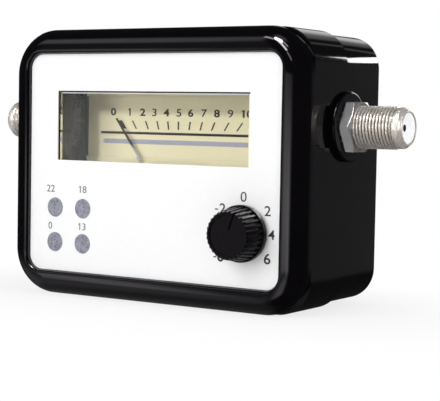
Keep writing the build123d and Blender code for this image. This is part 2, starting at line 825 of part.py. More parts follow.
# Case screws, driven from the pits in the back
screw_seat_depth = plate_to_back - screw_pit_depth
with BuildPart() as case_screws:
    with BuildSketch(facing(screw_seat_depth)):
        with GridLocations(2 * case_screw_x, 2 * case_screw_z, 2, 2):
            Circle(case_screw_head_radius)
    extrude(amount=-case_screw_head_thick)
    with BuildSketch(facing(screw_seat_depth)):
        with GridLocations(2 * case_screw_x, 2 * case_screw_z, 2, 2):
            Circle(case_screw_radius)
    extrude(amount=case_screw_length)
case_screws.part.label = "case_screws"
export_step(case_screws.part, "parts/case_screws.step")

# Circuit board, its screws, and the parts on its back
with BuildPart() as circuit_board:
    with BuildSketch(facing(board_depth)):
        Rectangle(board_width, board_height)
        with GridLocations(2 * board_post_x, 2 * board_post_z, 2, 2):
            Circle(board_screw_radius + thread_gap, mode=Mode.SUBTRACT)
        with Locations((lamp_x, lamp_rise)):
            with GridLocations(2 * lamp_offset, 2 * lamp_offset, 2, 2):
                with GridLocations(lead_pitch, 0, 2, 1):
                    Circle(lead_hole_radius, mode=Mode.SUBTRACT)
        with Locations((knob_x, knob_rise - pot_pin_drop)):
            with GridLocations(pot_pin_pitch, 0, 3, 1):
                Circle(pin_hole_radius, mode=Mode.SUBTRACT)
        with Locations((0, terminal_rise)):
            with GridLocations(2 * terminal_x, 0, 2, 1):
                Circle(terminal_radius + terminal_gap, mode=Mode.SUBTRACT)
    extrude(amount=-board_thick)
circuit_board.part.label = "circuit_board"
export_step(circuit_board.part, "parts/circuit_board.step")

with BuildPart() as board_screws:
    with BuildSketch(facing(board_back_depth)):
        with GridLocations(2 * board_post_x, 2 * board_post_z, 2, 2):
            Circle(board_screw_head_radius)
    extrude(amount=-board_screw_head_thick)
    with BuildSketch(facing(board_back_depth)):
        with GridLocations(2 * board_post_x, 2 * board_post_z, 2, 2):
            Circle(board_screw_radius)
    extrude(amount=board_screw_length)
board_screws.part.label = "board_screws"
export_step(board_screws.part, "parts/board_screws.step")

with BuildPart() as rf_shield:
    with BuildSketch(facing(board_back_depth, rise=shield_rise)):
        RectangleRounded(shield_width, shield_height, shield_round)
    extrude(amount=-shield_depth)
    with BuildSketch(facing(board_back_depth, rise=shield_rise)):
        inside_width = shield_width - 2 * shield_skin
        inside_height = shield_height - 2 * shield_skin
        RectangleRounded(inside_width, inside_height, shield_round - shield_skin)
    extrude(amount=shield_skin - shield_depth, mode=Mode.SUBTRACT)
rf_shield.part.label = "rf_shield"
export_step(rf_shield.part, "parts/rf_shield.step")

with BuildPart() as amplifier_chip:
    with BuildSketch(facing(board_back_depth, chip_x, shield_rise)):
        Rectangle(chip_width, chip_height)
    extrude(amount=-chip_thick)
    chamfer(amplifier_chip.faces().sort_by(Axis.Y)[-1].edges(), length=chip_edge)
amplifier_chip.part.label = "amplifier_chip"
export_step(amplifier_chip.part, "parts/amplifier_chip.step")

with BuildPart() as chokes:
    with BuildSketch(Plane.XY.offset(mid_z + shield_rise - choke_length / 2)):
        with Locations((choke_x, plate_y + board_back_depth + choke_radius)):
            with GridLocations(choke_pitch, 0, 2, 1):
                Circle(choke_radius)
    extrude(amount=choke_length)
    fillet(chokes.edges().filter_by(GeomType.CIRCLE), radius=choke_round)
chokes.part.label = "chokes"
export_step(chokes.part, "parts/chokes.step")

with BuildPart() as capacitors:
    with BuildSketch(facing(board_back_depth, capacitor_x, capacitor_rise)):
        with GridLocations(capacitor_pitch, 0, 2, 1):
            Circle(capacitor_radius)
    extrude(amount=-capacitor_length)
    with BuildSketch(facing(board_back_depth + capacitor_groove_setback, capacitor_x, capacitor_rise)):
        with GridLocations(capacitor_pitch, 0, 2, 1):
            Circle(capacitor_radius)
            Circle(capacitor_radius - capacitor_groove, mode=Mode.SUBTRACT)
    extrude(amount=-capacitor_groove_width, mode=Mode.SUBTRACT)
capacitors.part.label = "capacitors"
export_step(capacitors.part, "parts/capacitors.step")

with BuildPart() as buzzer:
    with BuildSketch(facing(board_back_depth, buzzer_x, buzzer_rise)):
        Circle(buzzer_radius)
    extrude(amount=-buzzer_height)
    fillet(buzzer.faces().sort_by(Axis.Y)[-1].edges(), radius=buzzer_round)
    with BuildSketch(facing(board_back_depth + buzzer_height, buzzer_x, buzzer_rise)):
        Circle(buzzer_hole_radius)
    extrude(amount=buzzer_hole_depth, mode=Mode.SUBTRACT)
buzzer.part.label = "buzzer"
export_step(buzzer.part, "parts/buzzer.step")

# Meter housing: clear cover with its window block, and the base that carries the movement
with BuildPart() as meter_cover:
    with BuildSketch(facing(wall_back_depth)):
        tee(0)
    extrude(amount=wall_back_depth - cover_rim_depth)
    with BuildSketch(facing(pane_setback, rise=window_rise)):
        Rectangle(window_width, window_height)
    extrude(amount=pane_setback - wall_back_depth)
    with BuildSketch(facing(cover_rim_depth)):
        tee(meter_skin)
    extrude(amount=cover_rim_depth - wall_back_depth - meter_skin, mode=Mode.SUBTRACT)
    with BuildSketch(facing(pane_setback + pane_thick, rise=window_rise)):
        Rectangle(window_width - 2 * meter_skin, window_height - 2 * meter_skin)
    extrude(amount=pane_setback + pane_thick - wall_back_depth - meter_skin, mode=Mode.SUBTRACT)
meter_cover.part.label = "meter_cover"
export_step(meter_cover.part, "parts/meter_cover.step")

with BuildPart() as meter_base:
    with BuildSketch(facing(cover_rim_depth)):
        tee(0)
    extrude(amount=cover_rim_depth - meter_back_depth)
    with BuildSketch(facing(cover_rim_depth - spigot_length)):
        tee(meter_skin + spigot_gap)
    extrude(amount=-spigot_length)
    with BuildSketch(facing(cover_rim_depth - spigot_length)):
        tee(meter_skin + spigot_gap + spigot_thick)
    extrude(amount=cover_rim_depth - spigot_length - floor_depth, mode=Mode.SUBTRACT)
    with BuildSketch(facing(floor_depth)):
        with Locations((0, pivot_rise)):
            Circle(yoke_radius)
            Circle(yoke_inner_radius, mode=Mode.SUBTRACT)
    extrude(amount=floor_depth - core_back_depth)
    with BuildSketch(facing(floor_depth)):
        with Locations((0, dial_screw_rise)):
            with GridLocations(2 * dial_screw_x, 0, 2, 1):
                Circle(dial_post_radius)
    extrude(amount=floor_depth - dial_depth - dial_thick)
    with BuildSketch(facing(floor_depth)):
        with Locations((0, pivot_rise)):
            with Locations((0, -stud_orbit)):
                Circle(stud_radius)
    extrude(amount=floor_depth - coil_back_depth - collet_gap)
    with BuildSketch(facing(meter_back_depth)):
        with Locations((0, pivot_rise)):
            Circle(jewel_radius + thread_gap)
        with Locations((0, terminal_rise)):
            with GridLocations(2 * terminal_x, 0, 2, 1):
                Circle(terminal_radius + terminal_gap)
    extrude(amount=meter_skin, mode=Mode.SUBTRACT)
    with BuildSketch(facing(dial_depth + dial_thick)):
        with Locations((0, dial_screw_rise)):
            with GridLocations(2 * dial_screw_x, 0, 2, 1):
                Circle(dial_screw_radius + thread_gap)
    extrude(amount=dial_depth + dial_thick - floor_depth, mode=Mode.SUBTRACT)
meter_base.part.label = "meter_base"
export_step(meter_base.part, "parts/meter_base.step")

with BuildPart() as meter_terminals:
    with BuildSketch(facing(floor_depth, rise=terminal_rise)):
        with GridLocations(2 * terminal_x, 0, 2, 1):
            Circle(terminal_head_radius)
    extrude(amount=terminal_head_thick)
    with BuildSketch(facing(floor_depth, rise=terminal_rise)):
        with GridLocations(2 * terminal_x, 0, 2, 1):
            Circle(terminal_radius)
    extrude(amount=floor_depth - board_back_depth - lead_tail)
meter_terminals.part.label = "meter_terminals"
export_step(meter_terminals.part, "parts/meter_terminals.step")

# Dial plate, with two pegs that stop the pointer
stop_angle = half_sweep + degrees(asin((pointer_root_width / 2 + stop_radius + stop_gap) / stop_orbit))
with BuildPart() as dial_plate:
    with BuildSketch(facing(dial_depth)):
        with Locations((0, (dial_top_rise + dial_bottom_rise) / 2)):
            Rectangle(dial_width, dial_top_rise - dial_bottom_rise)
        with Locations((0, dial_screw_rise)):
            with GridLocations(2 * dial_screw_x, 0, 2, 1):
                Circle(dial_screw_radius + thread_gap, mode=Mode.SUBTRACT)
    extrude(amount=-dial_thick)
    with BuildSketch(facing(dial_depth, rise=pivot_rise)):
        for side in (1, -1):
            across = side * stop_orbit * sin(radians(stop_angle))
            with Locations((across, stop_orbit * cos(radians(stop_angle)))):
                Circle(stop_radius)
    extrude(amount=stop_length)
dial_plate.part.label = "dial_plate"
export_step(dial_plate.part, "parts/dial_plate.step")

with BuildPart() as dial_screws:
    with BuildSketch(facing(dial_depth, rise=dial_screw_rise)):
        with GridLocations(2 * dial_screw_x, 0, 2, 1):
            Circle(dial_screw_head_radius)
    extrude(amount=dial_screw_head_thick)
    with BuildSketch(facing(dial_depth, rise=dial_screw_rise)):
        with GridLocations(2 * dial_screw_x, 0, 2, 1):
            Circle(dial_screw_radius)
    extrude(amount=-dial_screw_length)
dial_screws.part.label = "dial_screws"
export_step(dial_screws.part, "parts/dial_screws.step")

# Movement, fixed side: yoke ring, core magnet on two webs, bridge, jewel screws and hairsprings
with BuildPart() as yoke_ring:
    with BuildSketch(facing(core_front_depth, rise=pivot_rise)):
        Circle(yoke_radius)
        Circle(yoke_inner_radius, mode=Mode.SUBTRACT)
        with GridLocations(2 * bridge_leg_x, 0, 2, 1):
            Circle(bridge_screw_radius + thread_gap, mode=Mode.SUBTRACT)
    extrude(amount=core_front_depth - core_back_depth)
yoke_ring.part.label = "yoke_ring"
export_step(yoke_ring.part, "parts/yoke_ring.step")

with BuildPart() as core_magnet:
    with BuildSketch(facing(core_front_depth, rise=pivot_rise)):
        Circle(core_radius)
    extrude(amount=core_front_depth - core_back_depth)
core_magnet.part.label = "core_magnet"
export_step(core_magnet.part, "parts/core_magnet.step")

with BuildPart() as core_webs:
    with BuildSketch(facing(core_front_depth, rise=pivot_rise)):
        web_width = 2 * yoke_inner_radius * sin(radians(web_angle / 2))
        Circle(yoke_inner_radius - fit_gap)
        Rectangle(web_width, 2 * yoke_inner_radius, mode=Mode.INTERSECT)
        Circle(core_radius + fit_gap, mode=Mode.SUBTRACT)
    extrude(amount=core_front_depth - core_back_depth)
core_webs.part.label = "core_webs"
export_step(core_webs.part, "parts/core_webs.step")

spring_front_depth = bridge_depth + bridge_thick + collet_gap
with BuildPart() as front_bridge:
    with BuildSketch(facing(bridge_depth, rise=pivot_rise)):
        SlotCenterToCenter(2 * bridge_leg_x, bridge_height)
        Circle(jewel_radius + thread_gap, mode=Mode.SUBTRACT)
    extrude(amount=-bridge_thick)
    with BuildSketch(facing(bridge_depth + bridge_thick, rise=pivot_rise)):
        with GridLocations(2 * bridge_leg_x, 0, 2, 1):
            Circle(bridge_leg_radius)
    extrude(amount=bridge_depth + bridge_thick - core_front_depth)
    with BuildSketch(facing(bridge_depth + bridge_thick, rise=pivot_rise)):
        with Locations((stud_orbit, 0)):
            Circle(stud_radius)
    extrude(amount=-(collet_gap + collet_thick))
    with BuildSketch(facing(bridge_depth, rise=pivot_rise)):
        with GridLocations(2 * bridge_leg_x, 0, 2, 1):
            Circle(bridge_screw_radius + thread_gap)
    extrude(amount=bridge_depth - core_front_depth, mode=Mode.SUBTRACT)
front_bridge.part.label = "front_bridge"
export_step(front_bridge.part, "parts/front_bridge.step")

with BuildPart() as bridge_screws:
    with BuildSketch(facing(bridge_depth, rise=pivot_rise)):
        with GridLocations(2 * bridge_leg_x, 0, 2, 1):
            Circle(bridge_screw_head_radius)
    extrude(amount=bridge_screw_head_thick)
    with BuildSketch(facing(bridge_depth, rise=pivot_rise)):
        with GridLocations(2 * bridge_leg_x, 0, 2, 1):
            Circle(bridge_screw_radius)
    extrude(amount=bridge_depth - core_front_depth - bridge_screw_bite)
bridge_screws.part.label = "bridge_screws"
export_step(bridge_screws.part, "parts/bridge_screws.step")

# Each jewel screw ends in a cup that takes the tip of a staff.
front_cup_depth = spring_front_depth - jewel_overlap
rear_cup_depth = coil_back_depth + 2 * collet_gap + collet_thick
for name, mouth, back in (("front", front_cup_depth, 1), ("rear", rear_cup_depth, -1)):
    with BuildPart() as jewel_screw:
        with BuildSketch(facing(mouth, rise=pivot_rise)):
            Circle(jewel_radius)
        extrude(amount=back * jewel_length)
        with BuildSketch(facing(mouth, rise=pivot_rise)):
            Circle(jewel_cup_radius)
        extrude(amount=back * jewel_cup_depth, mode=Mode.SUBTRACT)
    jewel_screw.part.label = f"{name}_jewel_screw"
    export_step(jewel_screw.part, f"parts/{name}_jewel_screw.step")


def hairspring_outline():
    """Flat spiral of half circles from the collet to the stud, one strip wide."""
    inner = spring_inner_radius - spring_strip / 2
    outer = spring_inner_radius + spring_strip / 2
    step = spring_pitch / 2
    with BuildLine() as strip:
        ends = []
        for edge in (inner, outer):
            place = edge
            for half in range(2 * spring_turns):
                flip = -1 if half % 2 else 1
                start = (flip * place, 0)
                middle_x = flip * (place - (2 * place + step) / 2)
                radius = (2 * place + step) / 2
                finish = (-flip * (place + step), 0)
                ThreePointArc(start, (middle_x, flip * radius), finish)
                place = place + step
            ends.append((place, 0))
        Line((inner, 0), (outer, 0))
        Line(ends[0], ends[1])
    make_face(strip.edges())


for name, front, clockwise in (
    ("front", spring_front_depth, 0),
    ("rear", coil_back_depth + collet_gap, 90),
):
    with BuildPart() as hairspring:
        with BuildSketch(turned(front, 0, pivot_rise, clockwise)):
            hairspring_outline()
        extrude(amount=-collet_thick)
    hairspring.part.label = f"{name}_hairspring"
    export_step(hairspring.part, f"parts/{name}_hairspring.step")

# Movement, turning side: pointer with its tail, weights, coil and staffs, at the zero end of the scale
with BuildPart() as meter_pointer:
    with BuildSketch(swung(pointer_depth)):
        with BuildLine():
            Polyline(
                (-pointer_root_width / 2, 0),
                (-pointer_tip_width / 2, pointer_length),
                (pointer_tip_width / 2, pointer_length),
                (pointer_root_width / 2, 0),
                close=True,
            )
        make_face()
        Circle(pointer_hub_radius)
        for side in (1, -1):
            with Locations(Location((0, 0, 0), (0, 0, side * tail_angle))):
                with Locations((0, -tail_length / 2)):
                    Rectangle(tail_width, tail_length)
        Circle(staff_radius + fit_gap, mode=Mode.SUBTRACT)
    extrude(amount=-pointer_thick)
    with BuildSketch(swung(pointer_depth + pointer_thick)):
        Circle(pointer_hub_radius)
        Circle(staff_radius + fit_gap, mode=Mode.SUBTRACT)
    extrude(amount=pointer_depth + pointer_thick - coil_front_depth)
meter_pointer.part.label = "meter_pointer"
export_step(meter_pointer.part, "parts/meter_pointer.step")

with BuildPart() as balance_weights:
    for side in (1, -1):
        arm = radians(-half_sweep + 180 - side * tail_angle)
        middle = (
            weight_orbit * sin(arm),
            plate_y + pointer_depth + pointer_thick / 2,
            mid_z + pivot_rise + weight_orbit * cos(arm),
        )
        along = (sin(arm), 0, cos(arm))
        with BuildSketch(Plane(origin=middle, x_dir=(0, 1, 0), z_dir=along)):
            Circle(weight_radius)
            Rectangle(pointer_thick + 2 * fit_gap, tail_width + 2 * fit_gap, mode=Mode.SUBTRACT)
        extrude(amount=weight_length / 2, both=True)
balance_weights.part.label = "balance_weights"
export_step(balance_weights.part, "parts/balance_weights.step")

with BuildPart() as moving_coil:
    coil_middle = swung(coil_front_depth + coil_depth / 2)
    with BuildSketch(Plane(origin=coil_middle.origin, x_dir=coil_middle.x_dir, z_dir=coil_middle.y_dir)):
        RectangleRounded(2 * coil_outer_radius, coil_depth, coil_band)
        Rectangle(2 * coil_inner_radius, coil_depth - 2 * coil_band, mode=Mode.SUBTRACT)
    extrude(amount=coil_width / 2, both=True)
moving_coil.part.label = "moving_coil"
export_step(moving_coil.part, "parts/moving_coil.step")

front_tip_depth = front_cup_depth - jewel_overlap
rear_tip_depth = rear_cup_depth + jewel_overlap
with BuildPart() as pivot_staffs:
    with BuildSketch(swung(coil_front_depth)):
        Circle(staff_radius)
    extrude(amount=coil_front_depth - front_tip_depth)
    with BuildSketch(swung(spring_front_depth)):
        Circle(collet_radius)
    extrude(amount=-collet_thick)
    with BuildSketch(swung(coil_back_depth)):
        Circle(staff_radius)
    extrude(amount=coil_back_depth - rear_tip_depth)
    with BuildSketch(swung(coil_back_depth + collet_gap)):
        Circle(collet_radius)
    extrude(amount=-collet_thick)
pivot_staffs.part.label = "pivot_staffs"
export_step(pivot_staffs.part, "parts/pivot_staffs.step")
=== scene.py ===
"""Looks of the signal finder: finishes for every part, the printing on its face and dial, the turns of the
sockets' threads, nuts with eased edges, crosses in the screws, and a plain pale studio around it.

Metres, in the frame of the parts: +X to the right as the user sees it, +Y to the back, +Z up.
"""
import json
from math import cos, pi, radians, sin, tan

import bmesh
import bpy
import numpy as np
from mathutils import Matrix, Vector

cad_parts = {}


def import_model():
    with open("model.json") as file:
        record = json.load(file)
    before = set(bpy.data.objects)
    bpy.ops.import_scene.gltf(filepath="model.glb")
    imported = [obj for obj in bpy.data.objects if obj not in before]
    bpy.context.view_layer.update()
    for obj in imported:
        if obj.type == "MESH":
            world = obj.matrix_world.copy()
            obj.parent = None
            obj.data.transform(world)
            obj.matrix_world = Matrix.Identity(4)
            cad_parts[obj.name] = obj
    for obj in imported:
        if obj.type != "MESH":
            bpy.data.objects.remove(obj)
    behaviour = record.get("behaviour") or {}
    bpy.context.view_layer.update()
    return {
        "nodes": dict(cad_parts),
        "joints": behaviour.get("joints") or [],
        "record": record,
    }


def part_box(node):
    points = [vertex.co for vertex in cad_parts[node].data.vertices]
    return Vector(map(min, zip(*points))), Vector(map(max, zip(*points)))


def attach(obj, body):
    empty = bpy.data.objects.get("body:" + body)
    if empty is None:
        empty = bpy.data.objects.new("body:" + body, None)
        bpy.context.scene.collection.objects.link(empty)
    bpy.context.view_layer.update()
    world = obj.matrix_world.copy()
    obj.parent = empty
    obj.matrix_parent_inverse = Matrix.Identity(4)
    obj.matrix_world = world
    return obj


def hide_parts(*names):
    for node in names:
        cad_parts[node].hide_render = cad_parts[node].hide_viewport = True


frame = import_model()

nodes = frame["nodes"]
MM = 0.001
INK = 0.03 * MM
ALL_ROUND = 2 * pi

# Places read from the parts. The dial's screws stand out from it by the height of their heads.
plate_low, plate_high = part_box("face_plate")
plate_front = plate_low.y
plate_middle = (plate_low.z + plate_high.z) / 2
dial_screw_head = 0.6 * MM
dial_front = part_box("dial_screws")[0].y + dial_screw_head
knob_low, knob_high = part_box("knob")
knob_x = (knob_low.x + knob_high.x) / 2
knob_z = (knob_low.z + knob_high.z) / 2
socket_low, socket_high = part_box("right_socket_body")
socket_y = (socket_low.y + socket_high.y) / 2
socket_z = (socket_low.z + socket_high.z) / 2
pivot = [j for j in frame["joints"] if j["name"] == "pointer_swing"][0]["pos_m"]


# Meshes

def surface(name, points, wrap_rows=False, wrap_columns=False, sharp=35):
    """Piece made of a grid of points, rows by columns: one face between each four neighbours, and the last
    row or column joined to the first where it wraps. Edges that turn by more than the sharp angle stay crisp.
    A stack of grids makes that many bodies in one piece."""
    rows, columns = points.shape[-3:-1]
    index = np.arange(points.size // 3).reshape(-1, rows, columns)
    if wrap_rows:
        index = np.concatenate([index, index[:, :1]], axis=1)
    if wrap_columns:
        index = np.concatenate([index, index[:, :, :1]], axis=2)
    corners = (index[:, :-1, :-1], index[:, 1:, :-1], index[:, 1:, 1:], index[:, :-1, 1:])
    faces = np.stack(corners, axis=-1).reshape(-1, 4)
    mesh = bpy.data.meshes.new(name)
    mesh.from_pydata(points.reshape(-1, 3).tolist(), [], faces.tolist())
    return finished(name, mesh, sharp)


def smoothed(name, mesh, sharp, merge, turn_out):
    """Object for a mesh, with doubles merged and smooth shading, and its faces turned outwards if asked."""
    work = bmesh.new()
    work.from_mesh(mesh)
    bmesh.ops.remove_doubles(work, verts=work.verts, dist=merge)
    if turn_out:
        bmesh.ops.recalc_face_normals(work, faces=work.faces)
    work.to_mesh(mesh)
    work.free()
    if "custom_normal" in mesh.attributes:
        mesh.attributes.remove(mesh.attributes["custom_normal"])
    mesh.polygons.foreach_set("use_smooth", np.ones(len(mesh.polygons), bool))
    mesh.set_sharp_from_angle(angle=radians(sharp))
    return add_object(name, mesh)


def add_object(name, data):
    """New object in the scene for a mesh, a curve, a light or a camera."""
    obj = bpy.data.objects.new(name, data)
    bpy.context.scene.collection.objects.link(obj)
    return obj


def finished(name, mesh, sharp=35):
    """Object for a new mesh, closed at its seams, with its faces turned outwards."""
    return smoothed(name, mesh, sharp, merge=1e-7, turn_out=True)


def eased_copy(node):
    """Copy of a part with its triangles joined, so that its rounds shade as smooth curves."""
    mesh = nodes[node].data.copy()
    mesh.materials.clear()
    obj = smoothed(node + "_eased", mesh, sharp=30, merge=1e-6, turn_out=False)
    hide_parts(node)
    return obj


def settle(obj, body, material):
    """Gives a new piece its finish and the body that it moves with."""
    obj.data.materials.clear()
    obj.data.materials.append(material)
    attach(obj, body)


def rectangle(left, right, low, high):
    """The four corners (x, z) of an upright rectangle."""
    return [(left, low), (right, low), (right, high), (left, high)]


def slabs(name, outlines, front, thick):
    """Printed marks: each outline of four corners (x, z) becomes a thin slab whose face lies at front."""
    outlines = np.asarray(outlines, float)
    count = len(outlines)
    layers = []
    for y in (front, front + thick):
        depth = np.full(outlines.shape[:2] + (1,), y)
        layers.append(np.concatenate([outlines[..., :1], depth, outlines[..., 1:]], axis=-1))
    points = np.stack(layers, axis=1).reshape(-1, 3)
    ring = np.arange(4)
    after = (ring + 1) % 4
    walls = np.stack([ring, after, after + 4, ring + 4], axis=-1)
    one = np.vstack([ring, ring + 4, walls])
    faces = (one[None] + 8 * np.arange(count)[:, None, None]).reshape(-1, 4)
    mesh = bpy.data.meshes.new(name)
    mesh.from_pydata(points.tolist(), [], faces.tolist())
    return finished(name, mesh)


def numerals(name, words, front, thick, wide):
    """Printed numbers on a face that looks to the front: each word is (text, x, z, height, weight), placed by
    its middle, and all of them become one mesh. A leading 1 gets the small flag that the plain letter form
    lacks, drawn in shares of the height."""
    flag = [(0, 0), (0, -0.17), (-0.19, -0.29), (-0.19, -0.17), (-0.08, -0.09)]
    overlap = 0.01 * MM
    together = bmesh.new()
    for text, x, z, height, weight in words:
        curve = bpy.data.curves.new(name, "FONT")
        curve.body = text
        curve.align_x = "CENTER"
        curve.align_y = "CENTER"
        curve.size = 1.0
        curve.offset = weight
        curve.resolution_u = 6
        holder = add_object(name, curve)
        bpy.context.view_layer.update()
        flat = bpy.data.meshes.new_from_object(holder.evaluated_get(bpy.context.evaluated_depsgraph_get()))
        bpy.data.objects.remove(holder)
        bpy.data.curves.remove(curve)
        places = np.zeros(len(flat.vertices) * 3)
        flat.vertices.foreach_get("co", places)
        places = places.reshape(-1, 3)
        low, high = places.min(0), places.max(0)
        scale = height / (high[1] - low[1])
        middle = (low + high) / 2
        moved = np.zeros_like(places)
        moved[:, 0] = (places[:, 0] - middle[0]) * scale * wide + x
        moved[:, 1] = front
        moved[:, 2] = (places[:, 1] - middle[1]) * scale + z
        flat.vertices.foreach_set("co", moved.ravel())
        together.from_mesh(flat)
        bpy.data.meshes.remove(flat)
        if text[0] == "1":
            left, top = moved[:, 0].min() + overlap, z + height / 2
            together.faces.new([
                together.verts.new((left + a * height, front, top + b * height)) for a, b in flag
            ])
    raised = bmesh.ops.extrude_face_region(together, geom=together.faces[:])
    lifted = [v for v in raised["geom"] if isinstance(v, bmesh.types.BMVert)]
    bmesh.ops.translate(together, verts=lifted, vec=(0, thick, 0))
    mesh = bpy.data.meshes.new(name)
    together.to_mesh(mesh)
    together.free()
    return finished(name, mesh)


def circle(count):
    """That many angles, evenly around."""
    return np.linspace(0, ALL_ROUND, count, endpoint=False)


def turned_grid(side, reach, radius, around):
    """Points of a body of revolution about a socket's axis. Reach and radius are arrays with one row for each
    point of the profile, and one column or as many as around, which holds the angle of each column, from the
    back over the top."""
    y = socket_y + radius * np.cos(around)[None, :]
    z = socket_z + radius * np.sin(around)[None, :]
    x = side * reach
    return np.stack([np.broadcast_to(x, y.shape), y, z], axis=-1)


def face_middles(obj):
    """Middle of each face of a piece, one row each."""
    middles = np.zeros(len(obj.data.polygons) * 3)
    obj.data.polygons.foreach_get("center", middles)
    return middles.reshape(-1, 3)


# Materials

class Finish:
    """One material: its tree, its main shader, and short calls that add and join nodes."""

    def __init__(self, name):
        self.material = bpy.data.materials.new(name)
        self.material.use_nodes = True
        self.tree = self.material.node_tree
        self.shader = self.tree.nodes["Principled BSDF"]
        self.output = self.tree.nodes["Material Output"]

    def set(self, **values):
        """Plain values on the main shader's inputs."""
        for key, value in values.items():
            self.shader.inputs[key.replace("_", " ")].default_value = value

    def add(self, kind, **values):
        """New node of the material's tree, with its settings."""
        node = self.tree.nodes.new(kind)
        for key, value in values.items():
            setattr(node, key, value)
        return node

    def join(self, source, target):
        """Link from a node's output to an input."""
        self.tree.links.new(source, target)

    def where(self):
        """The piece's own coordinates in millimetres."""
        place = self.add("ShaderNodeTexCoord")
        mapping = self.add("ShaderNodeMapping")
        mapping.inputs["Scale"].default_value = (1 / MM, 1 / MM, 1 / MM)
        self.join(place.outputs["Object"], mapping.inputs["Vector"])
        return mapping.outputs["Vector"]

    def distance(self, point, kept):
        """Distance from a point, in metres, along the axes whose kept share is 1."""
        place = self.add("ShaderNodeTexCoord")
        shifted = self.add("ShaderNodeVectorMath", operation="SUBTRACT")
        shifted.inputs[1].default_value = point
        self.join(place.outputs["Object"], shifted.inputs[0])
        flat = self.add("ShaderNodeVectorMath", operation="MULTIPLY")
        flat.inputs[1].default_value = kept
        self.join(shifted.outputs[0], flat.inputs[0])
        gap = self.add("ShaderNodeVectorMath", operation="LENGTH")
        self.join(flat.outputs[0], gap.inputs[0])
        return gap.outputs["Value"]

    def noise(self, scale, detail=3.0, roughness=0.55):
        """Noise whose features are 1 / scale millimetres across."""
        node = self.add("ShaderNodeTexNoise")
        node.inputs["Scale"].default_value = scale
        node.inputs["Detail"].default_value = detail
        node.inputs["Roughness"].default_value = roughness
        self.join(self.where(), node.inputs["Vector"])
        return node.outputs["Fac"]

    def cells(self, scale):
        """Distance to the middle of the nearest cell, with cells 1 / scale millimetres across."""
        node = self.add("ShaderNodeTexVoronoi")
        node.inputs["Scale"].default_value = scale
        self.join(self.where(), node.inputs["Vector"])
        return node.outputs["Distance"]

    def span(self, value, low, high, to_low, to_high, smooth=False):
        """Value from low to high laid over to_low to to_high, and held at the ends."""
        node = self.add("ShaderNodeMapRange")
        if smooth:
            node.interpolation_type = "SMOOTHSTEP"
        for key, number in (("From Min", low), ("From Max", high), ("To Min", to_low), ("To Max", to_high)):
            node.inputs[key].default_value = number
        self.join(value, node.inputs["Value"])
        return node.outputs["Result"]

    def blend(self, share, first, second):
        """Colour that goes from first to second with the share. Each is a colour or a node's output."""
        node = self.add("ShaderNodeMix", data_type="RGBA")
        self.join(share, node.inputs[0])
        for socket, colour in ((node.inputs[6], first), (node.inputs[7], second)):
            if isinstance(colour, tuple):
                socket.default_value = (*colour, 1)
            else:
                self.join(colour, socket)
        return node.outputs[2]

    def sum(self, *values):
        """The values added up."""
        total = values[0]
        for value in values[1:]:
            node = self.add("ShaderNodeMath", operation="ADD")
            self.join(total, node.inputs[0])
            self.join(value, node.inputs[1])
            total = node.outputs[0]
        return total

    def colour(self, output):
        """Base colour from a node's output."""
        self.join(output, self.shader.inputs["Base Color"])

    def rough(self, low, high, scale, detail):
        """Roughness that wanders from low to high with a noise."""
        spread = self.span(self.noise(scale, detail), 0.3, 0.7, low, high)
        self.join(spread, self.shader.inputs["Roughness"])

    def bump(self, height, depth):
        """Relief of that depth in millimetres where the height goes from 0 to 1."""
        node = self.add("ShaderNodeBump")
        node.inputs["Strength"].default_value = 1.0
        node.inputs["Distance"].default_value = depth * MM
        self.join(height, node.inputs["Height"])
        self.join(node.outputs["Normal"], self.shader.inputs["Normal"])


def moulded(name, dark, light, roughness, spread, relief, grain=1.5, gloss=0.5, tint=(1, 1, 1)):
    """Moulded plastic: a slightly uneven colour, uneven gloss and a faint ripple from the mould. The tint is
    that of what it mirrors."""
    f = Finish(name)
    f.colour(f.blend(f.noise(0.08, 2), dark, light))
    f.rough(roughness - spread, roughness + spread, grain, 4)
    f.bump(f.sum(f.noise(0.12, 1), f.span(f.noise(6, 2), 0, 1, 0, 0.04)), relief)
    f.set(Specular_IOR_Level=gloss, Specular_Tint=(*tint, 1))
    return f.material


def metal(name, colour, roughness, spread, relief=0.003):
    """Bare or plated metal: fine marks from its making, and slight stains."""
    f = Finish(name)
    stain = tuple(0.82 * c for c in colour)
    f.colour(f.blend(f.span(f.noise(0.5, 4), 0.35, 0.7, 0, 1), colour, stain))
    f.rough(roughness - spread, roughness + spread, 2.0, 4)
    f.bump(f.noise(8, 3), relief)
    f.set(Metallic=1.0)
    return f.material


def nickel_plate(name, light, dark, metallic, roughness, painted_root_shade=False):
    """Satin nickel. On the threads, painted shade darkens the colour towards the root: the distance from the
    sockets' axis goes from near the root's radius to near the crest's."""
    f = Finish(name)
    tone = f.blend(f.span(f.noise(0.2, 3), 0.35, 0.7, 0, 1), light, dark)
    if painted_root_shade:
        # Painted shade in the thread roots: near black where the surface nears the root's radius, full nickel at
        # the crest
        gap = f.distance((0, socket_y, socket_z), (0, 1, 1))
        unshaded_share = f.span(gap, 4.30 * MM, 4.60 * MM, 0, 1, smooth=True)
        tone = f.blend(unshaded_share, (0.07, 0.062, 0.055), tone)
    f.colour(tone)
    f.rough(roughness - 0.04, roughness + 0.05, 0.8, 3)
    f.bump(f.noise(2, 2), 0.0004)
    f.set(Metallic=metallic)
    return f.material


def printed(name, colour, roughness=0.55):
    """Screen-printed ink, with the small unevenness of its edge and film."""
    f = Finish(name)
    f.colour(f.blend(f.noise(3.0, 3), colour, tuple(min(1, c * 1.25 + 0.01) for c in colour)))
    f.rough(roughness - 0.08, roughness + 0.08, 5, 3)
    f.bump(f.noise(12, 2), 0.001)
    return f.material


